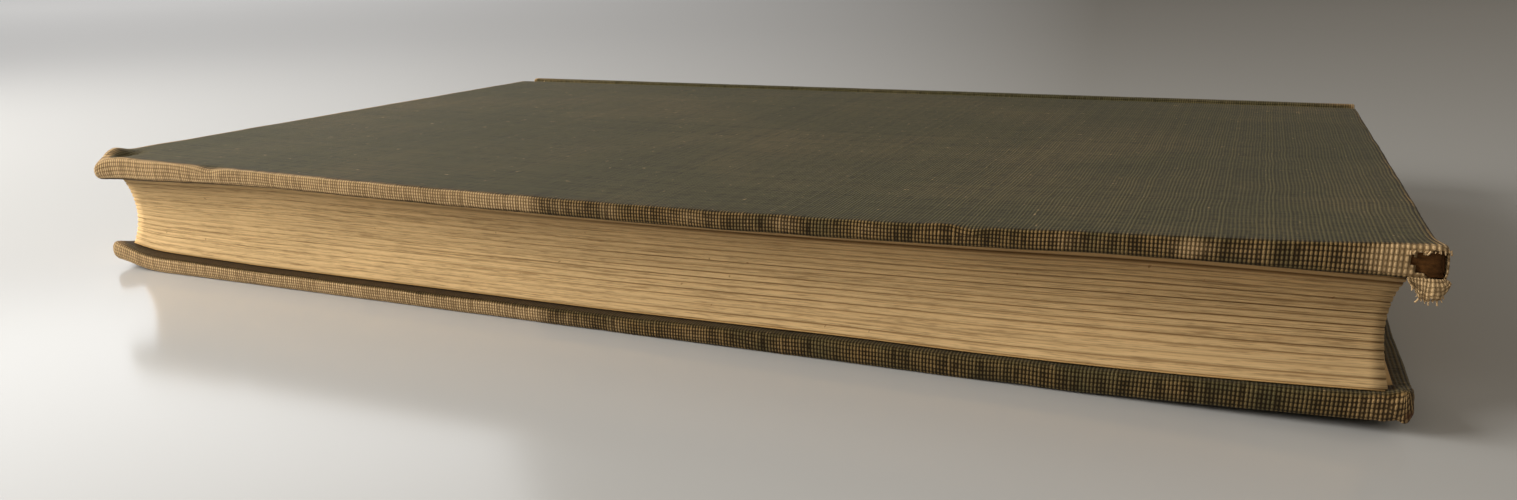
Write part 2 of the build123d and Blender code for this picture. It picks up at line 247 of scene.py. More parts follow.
class BookClothSettings(bpy.types.PropertyGroup):
    thread_pitch: length("Thread pitch", "Distance from thread to thread", 0.52 * MM)
    thread: colour("Thread", "Colour of the threads on the covers' faces", (0.120, 0.103, 0.046))
    gap: colour("Gap", "Colour between the threads on the covers' faces", (0.022, 0.018, 0.008))
    rubbed: colour("Rubbed thread", "Colour of threads rubbed at the edges", (0.42, 0.240, 0.085))
    worn: colour("Worn thread", "Colour of threads worn bare at the corners", (0.66, 0.45, 0.23))
    worn_gap: colour("Worn gap", "Colour between threads at the edges", (0.026, 0.012, 0.003))
    torn_gap: colour("Torn gap", "Colour between threads of torn cloth", (0.26, 0.165, 0.075))
    # Partly unfaded cloth, partly painted shade under the leaves and painted light reflected from
    # them: the turn-ins are made darker and browner.
    fresh_and_shaded: colour("Fresh thread", "Unfaded colour of the turned-in cloth", (0.082, 0.048, 0.018))
    dull: colour("Dull", "Dust that greys the faces", (0.22, 0.145, 0.066))


class BookPaperSettings(bpy.types.PropertyGroup):
    leaf: colour("Leaf edge", "Colour of the leaves' edges", (0.73, 0.50, 0.245))
    # Also the colour of the painted shade in the grooves between leaves and below the front cover.
    leaf_dark_and_shade: colour("Leaf edge, browned", "Colour between the leaves", (0.15, 0.07, 0.018))
    endpaper: colour("Endpaper", "Colour of the endpapers", (0.55, 0.34, 0.135))
    foxing: colour("Foxing", "Colour of age spots on paper", (0.25, 0.12, 0.04))
    hollow_tail: length("Hollow at tail", "Depth of the hollow fore-edge at the tail", 1.5 * MM)
    hollow_head: length("Hollow at head", "Depth of the hollow fore-edge at the head", 5.0 * MM)
    lean: length("Lean", "How far the uppermost leaves lean out at the head", 1.6 * MM)


class BookBoardSettings(bpy.types.PropertyGroup):
    board: colour("Board", "Colour of the bare pulp board", (0.13, 0.055, 0.016))
    card: colour("Card", "Colour of the spine's card", (0.30, 0.20, 0.10))
    kraft: colour("Kraft", "Colour of the paper lining", (0.33, 0.19, 0.08))
    gauze: colour("Gauze", "Colour of the gauze", (0.52, 0.44, 0.28))
    band: colour("Headband", "Colour of the headbands' thread", (0.50, 0.40, 0.22))


class BookStudioSettings(bpy.types.PropertyGroup):
    floor: colour("Floor", "Colour of the floor", (0.56, 0.55, 0.53))
    key: bpy.props.FloatProperty(
        name="Key light", description="Power of the main light", unit="POWER", min=0, default=5.0
    )
    ambient: bpy.props.FloatProperty(
        name="Ambient", description="Strength of the sky", min=0, default=0.15
    )


# ---------------------------------------------------------------- shader trees


class Nodes:
    """A node tree under construction."""

    tree = None

    def put(self, value, socket):
        """Links a socket's value, or sets it."""
        if isinstance(value, bpy.types.NodeSocket):
            self.tree.links.new(value, socket)
        else:
            if socket.type == "RGBA" and len(value) == 3:
                value = (*value, 1.0)
            socket.default_value = value

    def node(self, kind, inputs, output=0, **settings):
        """A node's output, with its inputs given by name or place."""
        made = self.tree.nodes.new(kind)
        for key, value in settings.items():
            setattr(made, key, value)
        for key, value in inputs.items():
            self.put(value, made.inputs[key])
        return made.outputs[output]


class Shader(Nodes):
    """A material under construction, with short calls for the nodes that the finishes use."""

    def __init__(self, name):
        self.material = bpy.data.materials.new(name)
        self.material.use_nodes = True
        self.tree = self.material.node_tree
        self.tree.nodes.clear()
        self.surface = self.tree.nodes.new("ShaderNodeBsdfPrincipled")
        output = self.tree.nodes.new("ShaderNodeOutputMaterial")
        self.tree.links.new(self.surface.outputs[0], output.inputs[0])

    def math(self, operation, first, second=None):
        inputs = {0: first} if second is None else {0: first, 1: second}
        return self.node("ShaderNodeMath", inputs, operation=operation)

    def plus(self, first, second):
        return self.math("ADD", first, second)

    def product(self, *values):
        total = values[0]
        for value in values[1:]:
            total = self.math("MULTIPLY", total, value)
        return total

    def line(self, value, slope, base):
        """value times slope, plus base."""
        return self.plus(self.product(value, slope), base)

    def place(self, kind="Object"):
        return self.node("ShaderNodeTexCoord", {}, output=kind)

    def attribute(self, name):
        return self.node("ShaderNodeAttribute", {}, output="Fac", attribute_name=name)

    def stretch(self, where, scale):
        return self.node("ShaderNodeMapping", {"Vector": where, "Scale": scale})

    def noise(self, where, scale, detail=2.0, roughness=0.5):
        inputs = {"Vector": where, "Scale": scale, "Detail": detail, "Roughness": roughness}
        return self.node("ShaderNodeTexNoise", inputs)

    def between(self, value, low, high):
        """0 below low, 1 above high, and a smooth step between them."""
        inputs = {"Value": value, "From Min": low, "From Max": high}
        return self.node("ShaderNodeMapRange", inputs, interpolation_type="SMOOTHSTEP")

    def mix(self, share, first, second):
        inputs = {0: share, 6: first, 7: second}
        return self.node("ShaderNodeMix", inputs, output=2, data_type="RGBA")

    def shade(self, tint, tone, slope, base):
        """A colour made darker or lighter by tone times slope, plus base."""
        inputs = {0: tint, "Scale": self.line(tone, slope, base)}
        return self.node("ShaderNodeVectorMath", inputs, operation="SCALE")

    def finish(self, tint, roughness, height=None, relief=0.0, strength=1.0, **sockets):
        sockets = {"Base Color": tint, "Roughness": roughness, **sockets}
        if height is not None:
            inputs = {"Strength": strength, "Distance": relief, "Height": height}
            sockets["Normal"] = self.node("ShaderNodeBump", inputs)
        for name, value in sockets.items():
            self.put(value, self.surface.inputs[name.replace("_", " ")])
        return self.material


def thread_crown(shader, across, sharpness):
    """Round tops of a set of threads: 1 along each thread's middle and 0 between threads."""
    wave = shader.math("ABSOLUTE", shader.math("SINE", shader.product(across, math.pi)))
    return shader.math("POWER", wave, sharpness)


def thread_tone(shader, across, along):
    """A number round 1 for each thread, with slubs along it."""
    which = shader.math("FLOOR", across)
    own = shader.node("ShaderNodeTexWhiteNoise", {"W": which}, noise_dimensions="1D")
    slub_place = shader.node("ShaderNodeCombineXYZ", {0: which, 1: shader.product(along, 0.16)})
    slub = shader.noise(slub_place, 1.0, 1.0)
    return shader.plus(shader.line(own, 0.42, 0.30), slub)


def book_cloth(settings, name, worn_gap):
    """Starch-filled linen in a plain weave, with bare, paler threads where it is worn."""
    shader = Shader(name)
    where = shader.place("UV")
    names = ("wrap", "wear", "bare", "inside")
    wrap, wear, bare, inside = (shader.attribute(name) for name in names)
    drift = shader.product(shader.noise(where, 60.0, 1.0), 1.6)
    parts = shader.stretch(where, (1 / settings.thread_pitch,) * 3)
    split = shader.node("ShaderNodeSeparateXYZ", {0: parts})
    across = shader.plus(split, drift)
    along = shader.plus(split.node.outputs[1], drift)

    # Height: beads of the warp over a lower, steadier weft
    warp = shader.product(thread_crown(shader, across, 0.9), thread_tone(shader, across, along))
    weft = shader.product(thread_crown(shader, along, 0.8), thread_tone(shader, along, across))
    broken = shader.line(wrap, -0.16, 0.74)
    kept = shader.line(broken, -1.0, 1.0)
    beads = shader.product(warp, shader.plus(kept, shader.product(weft, broken)))
    under = shader.product(weft, shader.line(wrap, -0.22, 0.55))
    height = shader.math("MAXIMUM", beads, under)
    fibre = shader.noise(where, 5200.0, 2.0, 0.6)
    height = shader.plus(height, shader.product(fibre, 0.18))

    # Tops of the threads: dusty and specked on the faces, rubbed to bare linen at the edges
    crown = shader.between(height, shader.line(wrap, 0.20, 0.28), shader.line(wrap, 0.12, 0.90))
    blotch = shader.noise(where, 22.0, 4.0, 0.6)
    rubbed = shader.noise(where, 150.0, 3.0, 0.65)
    dust = shader.between(blotch, 0.42, 0.68)
    dull = shader.mix(shader.product(dust, 0.28), settings.thread, settings.dull)
    speck = shader.between(shader.noise(where, 480.0, 2.0, 0.7), 0.66, 0.74)
    face = shader.mix(shader.product(speck, crown, 0.75), dull, settings.worn)
    patchy = shader.plus(rubbed, shader.product(wear, 0.55))
    grazed = shader.product(wear, shader.between(patchy, 0.45, 0.95))
    bald = shader.between(wear, 0.50, 1.0)
    top = shader.mix(grazed, face, shader.mix(bald, settings.rubbed, settings.worn))

    # Between the threads, on the turn-ins, unfaded and darkened with painted shade, and on the bare
    # board
    deep = shader.mix(shader.product(bald, bald, 0.9), worn_gap, settings.torn_gap)
    tint = shader.mix(crown, shader.mix(wear, settings.gap, deep), top)
    shaded_ledge_gap = tuple(channel * 0.2 for channel in settings.fresh_and_shaded)
    tint = shader.mix(inside, tint, shader.mix(crown, shaded_ledge_gap, settings.fresh_and_shaded))
    tint = shader.shade(tint, blotch, 0.5, 0.75)
    pulp_tone = shader.mix(rubbed, (0.05, 0.016, 0.005), (0.16, 0.06, 0.02))
    tint = shader.mix(bare, tint, pulp_tone)
    return shader.finish(
        tint, 0.7, height, 0.14 * MM, 0.9, Specular_IOR_Level=0.22, Sheen_Weight=0.03,
        Sheen_Roughness=0.4,
    )


def leaf_edges(settings):
    """Trimmed edges of many thin leaves, darkened by age, with painted shade in their grooves and
    under the front cover.
    """
    shader = Shader("Leaf edges")
    where = shader.place("UV")
    crevice_shade, toning_and_shade = shader.attribute("crevice_shade"), shader.attribute("toning_and_shade")
    split = shader.node("ShaderNodeSeparateXYZ", {0: where})
    wave = shader.product(shader.noise(where, 20.0, 1.0), 0.06 * MM)
    level = shader.plus(split.node.outputs[1], wave)
    lines_at = shader.node("ShaderNodeCombineXYZ", {0: shader.product(split, 0.009), 1: level})
    fine = shader.noise(lines_at, 9000.0, 1.0, 0.8)
    broad = shader.noise(lines_at, 1500.0, 2.0, 0.7)
    ragged = shader.noise(shader.stretch(where, (0.07, 1.0, 1.0)), 3600.0, 2.0, 0.7)
    stain = shader.noise(shader.stretch(where, (0.35, 1.0, 1.0)), 60.0, 4.0, 0.6)
    line = shader.plus(shader.product(fine, 0.55), shader.product(broad, 0.45))
    line = shader.plus(line, shader.line(ragged, 0.5, -0.25))
    dark = shader.line(shader.between(line, 0.30, 0.58), -0.62, 0.62)
    # Painted shade: darker in the grooves between leaves and sections and below the front cover,
    # mixed with the bands that age has darkened.
    share = shader.math("MAXIMUM", dark, shader.product(crevice_shade, 0.95))
    share = shader.math("MAXIMUM", share, toning_and_shade)
    tint = shader.mix(share, settings.leaf, settings.leaf_dark_and_shade)
    tint = shader.shade(tint, stain, 0.55, 0.72)
    spot_here = shader.between(shader.noise(where, 700.0, 1.0), 0.77, 0.80)
    tint = shader.mix(shader.product(spot_here, 0.6), tint, settings.foxing)
    return shader.finish(tint, 0.82, line, 0.08 * MM, 0.6, Specular_IOR_Level=0.25)


def endpaper(settings):
    """Smooth wove paper, cloudy with age, with a few spots."""
    shader = Shader("Endpaper")
    where = shader.place()
    cloud = shader.noise(where, 18.0, 4.0, 0.6)
    spot_here = shader.between(shader.noise(where, 230.0, 2.0, 0.6), 0.66, 0.74)
    grain = shader.noise(where, 2600.0, 3.0, 0.7)
    tint = shader.mix(shader.product(spot_here, 0.5), settings.endpaper, settings.foxing)
    tint = shader.shade(tint, cloud, 0.6, 0.7)
    return shader.finish(tint, 0.78, grain, 0.03 * MM, 0.6, Specular_IOR_Level=0.25)


def pulp(name, tint, flecks, relief):
    """Paper or board made of visible fibres."""
    shader = Shader(name)
    where = shader.place()
    fibre = shader.noise(shader.stretch(where, (0.35, 1.0, 1.0)), 3000.0, 3.0, 0.75)
    cloud = shader.noise(where, 160.0, 3.0, 0.6)
    dark = tuple(channel * 0.35 for channel in tint)
    mixed = shader.mix(shader.product(shader.between(fibre, 0.3, 0.7), flecks), tint, dark)
    mixed = shader.shade(mixed, cloud, 0.7, 0.65)
    return shader.finish(mixed, 0.88, fibre, relief, 0.8, Specular_IOR_Level=0.2)


def loose_thread(name, tint):
    """Soft spun yarn."""
    shader = Shader(name)
    twist = shader.noise(shader.place(), 4200.0, 2.0, 0.6)
    return shader.finish(
        shader.shade(tint, twist, 0.7, 0.65), 0.85, twist, 0.05 * MM, 0.7,
        Specular_IOR_Level=0.2, Sheen_Weight=0.2,
    )


# ---------------------------------------------------------------- mesh helpers


SAME_PLACE = 1e-7  # m, points nearer than this are one


def linked(name, data):
    """A new object in the scene."""
    made = bpy.data.objects.new(name, data)
    bpy.context.scene.collection.objects.link(made)
    return made


def evaluated_mesh(piece):
    """The plain mesh that an object's modifiers make."""
    depsgraph = bpy.context.evaluated_depsgraph_get()
    return bpy.data.meshes.new_from_object(piece.evaluated_get(depsgraph))


def spaced(first, last, step):
    """Evenly spaced numbers from first to last, at most step apart."""
    count = max(1, math.ceil(abs(last - first) / step))
    return [first + (last - first) * i / count for i in range(count + 1)]


def rounded_path(corners, radii, step):
    """Points along a path in a plane, with each inner corner rounded to its radius."""
    path = [corners[0]]
    for before, corner, after, radius in zip(corners, corners[1:], corners[2:], radii):
        corner_at = Vector(corner)
        way_in = (corner_at - Vector(before)).normalized()
        way_out = (Vector(after) - corner_at).normalized()
        turn = way_in.angle(way_out)
        reach = radius * math.tan(turn / 2)
        pivot = corner_at - way_in * reach
        side = (way_out - way_in).normalized()
        centre = corner_at + side * radius / math.cos(turn / 2)
        arm = pivot - centre
        steps = max(2, math.ceil(turn * radius / step))
        sign = 1 if way_in.cross(way_out) > 0 else -1
        for i in range(steps + 1):
            spin = Matrix.Rotation(sign * turn * i / steps, 2)
            path.append(tuple(centre + spin @ arm))
    path.append(corners[-1])
    return path


def divided(path, step):
    """The same path with its long runs divided."""
    fine = [path[0]]
    for start, end in zip(path, path[1:]):
        run = (Vector(end) - Vector(start)).length
        count = max(1, math.ceil(run / step))
        fine += [tuple(Vector(start).lerp(Vector(end), i / count)) for i in range(1, count + 1)]
    return fine


def running(path):
    """Distance along a path at each of its points."""
    total = [0.0]
    for start, end in zip(path, path[1:]):
        total.append(total[-1] + (Vector(end) - Vector(start)).length)
    return total


class Skin:
    """A mesh under construction: points with their cloth coordinates and attributes."""

    def __init__(self):
        self.points = []
        self.cloth_places = []
        self.values = {}
        self.faces = []

    def add(self, point, cloth_place=(0.0, 0.0), **values):
        self.points.append(point)
        self.cloth_places.append(cloth_place)
        for name, value in values.items():
            self.values.setdefault(name, []).append(value)
        return len(self.points) - 1

    def bridge(self, first, second):
        """Faces between two rows of points."""
        for i in range(len(first) - 1):
            self.faces.append((first[i], first[i + 1], second[i + 1], second[i]))

    def sheet(self, rows):
        for first, second in zip(rows, rows[1:]):
            self.bridge(first, second)

    def piece(self, name, material, outward=None):
        """The finished mesh as an object, its near points merged and its faces made consistent."""
        mesh = bpy.data.meshes.new(name)
        mesh.from_pydata(self.points, [], self.faces)
        for key, numbers in self.values.items():
            mesh.attributes.new(key, "FLOAT", "POINT").data.foreach_set("value", numbers)
        places = mesh.uv_layers.new(name="UVMap").data
        for loop in mesh.loops:
            places[loop.index].uv = self.cloth_places[loop.vertex_index]
        shape = bmesh.new()
        shape.from_mesh(mesh)
        bmesh.ops.remove_doubles(shape, verts=shape.verts, dist=SAME_PLACE)
        bmesh.ops.dissolve_degenerate(shape, edges=shape.edges, dist=SAME_PLACE)
        bmesh.ops.recalc_face_normals(shape, faces=shape.faces)
        shape.faces.ensure_lookup_table()
        closed = all(edge.is_manifold for edge in shape.edges)
        inside_out = closed and shape.calc_volume(signed=True) < 0
        if inside_out or (outward and shape.faces[0].normal.dot(Vector(outward)) < 0):
            bmesh.ops.reverse_faces(shape, faces=shape.faces)
        shape.to_mesh(mesh)
        shape.free()
        mesh.polygons.foreach_set("use_smooth", [True] * len(mesh.polygons))
        mesh.materials.append(material)
        return linked(name, mesh)


def thicken(piece, thickness):
    """Gives a sheet its thickness, inwards from the face that was modelled."""
    solid = piece.modifiers.new("Thickness", "SOLIDIFY")
    solid.thickness = thickness
    solid.offset = -1
    solid.use_even_offset = False
    mesh = evaluated_mesh(piece)
    piece.modifiers.clear()
    piece.data = mesh


def bend_with_cover(piece, side):
    """Bakes a piece's transform into its mesh; the piece does not bend at the joint."""
    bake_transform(piece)


# ---------------------------------------------------------------- covering cloth

MARGIN = 6 * MM  # width of the fine rim round a cover's face
FACE_STEP = 1.5 * MM
EDGE_ROUND = 0.8 * MM  # radius of the boards' edges under the cloth
FACE_RINGS = [MARGIN] + [gap * MM for gap in (5.0, 4.0, 3.2, 2.4, 1.7)]  # insets from the edge
TURN_IN_RINGS = [gap * MM for gap in (1.7, 2.4, 3.2, 6, 10)] + [TURN_IN]
SIDE_ROWS = 20  # rows of faces round a board's edge
CORNER_STEPS = 28  # faces round a cover's corner
WORN_CLOTH = 0.8 * CLOTH  # thickness that wear has left
HOLE_ALONG = 3.5 * MM  # the worn hole, along the fore-edge from the head corner
HOLE_HEAD = 0.9 * MM  # and along the head edge
FLAT = (0.0, 0.0)  # for places on a face, which have no outward direction

# Dents along the front cover's fore-edge: depth, place along X, and spread along X and Y
DENTS = (
    (0.45 * MM, 61 * MM, 2.0 * MM, 1.6 * MM),  # pinched cloth
    (-0.30 * MM, 57 * MM, 3.0 * MM, 2.0 * MM),  # and the swelling beside it
    (0.55 * MM, -86 * MM, 2.6 * MM, 1.8 * MM),  # knock
)


def across_cover():
    """Path of the cloth from a cover's margin over its face, down into the groove, to the ridge."""
    corners = [
        (FORE + MARGIN, 0.0),
        (WALL_Y, 0.0),
        (WALL_Y, JOINT_DEPTH),
        (GROOVE_END, JOINT_DEPTH),
    ]
    rounded = rounded_path(corners, (0.9 * MM, 0.5 * MM), 0.12 * MM)
    return divided(rounded, FACE_STEP)


def cover_outline(rows, columns):
    """Places round a cover's free edges, each with its outward direction and outer depth."""
    fine = 0.25 * MM
    tail, fore, head = (-1.0, 0.0), (0.0, -1.0), (1.0, 0.0)
    down = spaced(FORE + MARGIN, FORE + TAIL_CORNER, fine)
    along = spaced(-HALF + TAIL_CORNER, -HALF + MARGIN, fine) + columns[1:-1]
    along += spaced(HALF - MARGIN, HALF - HEAD_CORNER, fine)
    up = spaced(FORE + HEAD_CORNER, FORE + MARGIN, fine)

    def corner(end, radius, start):
        x, y = end * (HALF - radius), FORE + radius
        for i in range(CORNER_STEPS + 1):
            turn = math.radians(start + 90 * i / CORNER_STEPS)
            way = (math.cos(turn), math.sin(turn))
            yield (x + radius * way[0], y + radius * way[1]), way, 0.0

    return [
        *(((-HALF, y), tail, depth) for y, depth in reversed(rows)),
        *(((-HALF, y), tail, 0.0) for y in down),
        *corner(-1, TAIL_CORNER, 180),
        *(((x, FORE), fore, 0.0) for x in along),
        *corner(1, HEAD_CORNER, 270),
        *(((HALF, y), head, 0.0) for y in up),
        *(((HALF, y), head, depth) for y, depth in rows),
    ]


def inset(place, way, distance):
    """A place on the outline moved inwards, kept inside the outline's inset rectangle."""
    x = clamp(place[0] - way[0] * distance, distance - HALF, HALF - distance)
    return (x, max(FORE + distance, place[1] - way[1] * distance))


def from_corner(x, y, end):
    """Distance from the fore-edge's corner at one end: -1 the tail, 1 the head."""
    return math.hypot(end * HALF - x, y - FORE)


def front_wear(x, y, depth, edge):
    """Depth and swelling in mm of the front cover's dents and its knocked-down tail corner."""
    if depth < MM:
        for dent, at, wide, deep in DENTS:
            depth += dent * edge * spot(x, y, at, FORE, wide, deep)
    away = from_corner(x, y, -1)
    droop = 1.3 * near(away, 0.0, 2.6 * MM)
    lump = 0.9 * spot(x, y, 0.8 * MM - HALF, FORE + 4.8 * MM, 2.3 * MM, 2.2 * MM)
    fold = 0.8 * spot(x, y, 5.0 * MM - HALF, FORE + 4.4 * MM, 1.5 * MM, 2.6 * MM)
    depth += (droop - lump + fold) * MM * max(0.0, 1 - depth / TURN_IN_FACE)
    lumps = 0.18 * near(away, 0.0, 6 * MM) * ripple(x, y + depth, 1.9 * MM, 6.0)
    return depth, 1.1 * near(away, 0.0, 4.0 * MM) + lumps


def back_wear(x, y, depth):
    """The same for the back cover's bunched head corner and turned-up tail corner."""
    bunch = spot(x, y, HALF, FORE, 5 * MM, 4 * MM)
    inner = clamp(depth / TURN_IN_FACE) ** 2
    swell = 0.35 * bunch * ripple(x, y + depth, 1.3 * MM, 13.0)
    depth += 0.35 * MM * bunch * ripple(x + depth, y, 1.1 * MM, 15.0)
    depth += 0.65 * MM * inner * spot(x, y, HALF, FORE + MM, 3.4 * MM, 2.4 * MM)
    depth += 0.45 * MM * inner * spot(x, y, -HALF, FORE, 4 * MM, 2.4 * MM)
    return depth, swell + 0.35 * spot(x, y, -HALF, FORE, 4 * MM)


def worn_surface(side, x, y, depth, way):
    """A point of the cloth, with the small dents and ripples that wear has left."""
    seed = 3.0 if side == "front" else 11.0
    edge = near(max(0.0, min(HALF - abs(x), y - FORE)), 0.0, 2.2 * MM)
    swell = 0.0
    if y < BOARD_END - 2 * MM:
        depth += (0.05 + 0.05 * edge) * MM * ripple(x, y, 9 * MM, seed)
        broad, fine = ripple(x, y, 12 * MM, seed + 5), ripple(x, y, 2.2 * MM, seed)
        swell = edge * (0.12 * broad + 0.05 * fine)
    if side == "front":
        depth, more = front_wear(x, y, depth, edge)
    else:
        depth, more = back_wear(x, y, depth)
    swell = (swell + more) * MM
    return under_cover(side, x + way[0] * swell, y + way[1] * swell, depth)


def wear_at(x, y, side_share):
    """How worn the cloth is: bare along its edges, most of all at the corners."""
    edge = near(min(HALF - abs(x), y - FORE), 0.0, 0.55 * MM)
    corner = near(min(from_corner(x, y, -1), from_corner(x, y, 1)), 0.0, 5 * MM)
    patch = 0.46 + 0.45 * ripple(x, y, 14 * MM, 7.0)
    patch += 0.16 * ripple(x, side_share * 5 * MM, 4 * MM, 17.0)
    ends = 0.8 * max(0.0, (30 * MM - x) / HALF) ** 1.3 + 0.6 * max(0.0, (x - 85 * MM) / HALF)
    worn = (0.7 * edge + 0.65 * side_share) * (patch + ends) + 0.6 * corner * side_share
    tail_corner = spot(x, y, -HALF, FORE, 4.2 * MM, 6.0 * MM)
    fold = spot(x, y, 5.0 * MM - HALF, FORE + 4.4 * MM, 1.7 * MM, 3.0 * MM)
    return clamp(worn + 1.2 * tail_corner - 1.4 * fold)


def in_hole(place, way, share):
    """Whether the cloth is worn away here, at the front cover's head corner."""
    x, y = place
    if x < HALF - 3 * HOLE_ALONG:
        return False
    ragged = 0.5 * ripple(x * 3, y * 3 + share * MM, MM, 2.0)
    on_fore_edge = way[1] < -0.7
    away = (HALF - x) / HOLE_ALONG if on_fore_edge else (y - FORE) / HOLE_HEAD
    reach = max(0.0, away + ragged * MM / HOLE_ALONG)
    low_edge = 0.96 - 0.42 * reach**3
    high_edge = 0.13 + 0.22 * ragged + 0.18 * reach**4
    return reach < 1.0 and high_edge < share < low_edge


def side_profile(place, outer_depth):
    """Inset, depth and share of the way round a cover's edge, from face to turned-in cloth."""
    height = TURN_IN_FACE - outer_depth
    corner = near(from_corner(*place, -1), 0.0, 6 * MM)
    radius = min(EDGE_ROUND * (1 + 0.9 * corner), 0.49 * height)
    power = 3.2 - corner
    profile = []
    for i in range(SIDE_ROWS + 1):
        share = (1 - math.cos(math.pi * i / SIDE_ROWS)) / 2
        bulge = (1 - abs(2 * share - 1) ** power) ** (1 / power)
        profile.append((radius * (1 - bulge), outer_depth + height * share, share))
    return profile


def covered_ledge(side, x, y):
    """How far the back cover's turned-in ledge takes its face's colour instead of its darker ledge
    colour, towards both ends.
    """
    if side == "front":
        return 0.0
    return 0.8 * clamp((x + 30 * MM) / (110 * MM)) + 0.9 * spot(x, y, -HALF, FORE, 9 * MM, 5 * MM)


def build_cover_cloth(side, material):
    """Cloth over a cover: its face, its three edges, the turned-in strips and half the joint."""
    skin = Skin()
    rows = across_cover()
    runs = running(rows)
    columns = spaced(-HALF + MARGIN, HALF - MARGIN, FACE_STEP)
    offset = FORE + MARGIN

    def add(x, y, depth, way, cloth_place, share=0.0, bare=0.0, inside=0.0):
        wear = wear_at(x, y, share) * (1 - inside)
        if side == "back":
            wear *= 1 - 0.3 * clamp((x + 10 * MM) / (90 * MM))
        point = worn_surface(side, x, y, depth, way)
        return skin.add(point, cloth_place, wrap=share, wear=wear, bare=bare, inside=inside)

    skin.sheet([
        [add(x, y, depth, FLAT, (x, offset + run)) for x in columns]
        for (y, depth), run in zip(rows, runs)
    ])

    run_of = dict(zip(rows, runs))
    ribs = []
    for place, way, outer_depth in cover_outline(rows, columns):
        at_row = (place[1], outer_depth)
        run_y = offset + run_of[at_row] if at_row in run_of else place[1]
        profile = side_profile(place, outer_depth)
        radius = profile[0][0]
        start = inset(place, way, radius)
        faded = covered_ledge(side, *place)
        travelled = 0.0
        last = (radius, outer_depth)

        def wrapped(far):
            return (start[0] + way[0] * far, run_y + start[1] - place[1] + way[1] * far)

        rib = []
        for distance in FACE_RINGS:
            x, y = inset(place, way, distance)
            rib.append((add(x, y, outer_depth, FLAT, (x, run_y + y - place[1])), None))
        for distance, depth, share in profile:
            travelled += math.hypot(distance - last[0], depth - last[1])
            last = (distance, depth)
            x, y = inset(place, way, distance)
            shown = math.sin(math.pi * (0.2 + 0.72 * share)) ** 0.5
            # The ledge's dark colour is unfaded cloth with painted shade.
            inside = clamp((share - 0.90) / 0.08) * (1 - faded)
            bare = 0.0
            if side == "back" and way[0] > 0.3:
                bare = near(place[1], FORE + 0.6 * MM, 0.8 * MM) * near(share, 0.3, 0.14)
            rib.append((add(x, y, depth, way, wrapped(travelled), shown, bare, inside), share))
        for distance in TURN_IN_RINGS:
            x, y = inset(place, way, distance)
            inside = 1 - faded if distance < 2 * MM else 1.0
            cloth_place = wrapped(travelled + distance - radius)
            rib.append((add(x, y, TURN_IN_FACE, FLAT, cloth_place, inside=inside), None))
        ribs.append((place, way, rib))
    for (place, way, first), (_, _, second) in zip(ribs, ribs[1:]):
        for i in range(len(first) - 1):
            share = first[i][1]
            if side == "front" and share is not None and in_hole(place, way, share):
                continue
            skin.faces.append((first[i][0], second[i][0], second[i + 1][0], first[i + 1][0]))
    up = (0, 0, 1) if side == "front" else (0, 0, -1)
    piece = skin.piece(f"{side}_cloth", material, up)
    thicken(piece, WORN_CLOTH)
    bend_with_cover(piece, side)
    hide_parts(f"{side}_cover_cloth")


def spine_path():
    """The spine cloth's outer face in the Y-Z plane, from groove to groove."""
    crown_y = BACK_CENTRE + math.sqrt(SPINE_RADIUS**2 - MIDDLE**2)
    half_turn = math.asin(MIDDLE / SPINE_RADIUS)
    turns = [half_turn * (1 - i / 20) for i in range(3, 38)]
    arc = [
        (BACK_CENTRE + SPINE_RADIUS * math.cos(a), MIDDLE + SPINE_RADIUS * math.sin(a))
        for a in turns
    ]
    floor = TOP - JOINT_DEPTH
    corners = [(GROOVE_END, floor), (RIDGE_Y, TOP), (crown_y, TOP), arc[0]]
    upper = rounded_path(corners, (0.8 * MM, 1.6 * MM), 0.15 * MM)[:-1]
    upper.insert(0, (GROOVE_END - 0.4 * MM, floor))
    lower = [(y, TOP - z) for y, z in reversed(upper)]
    return divided(upper + arc + lower, 1.2 * MM)


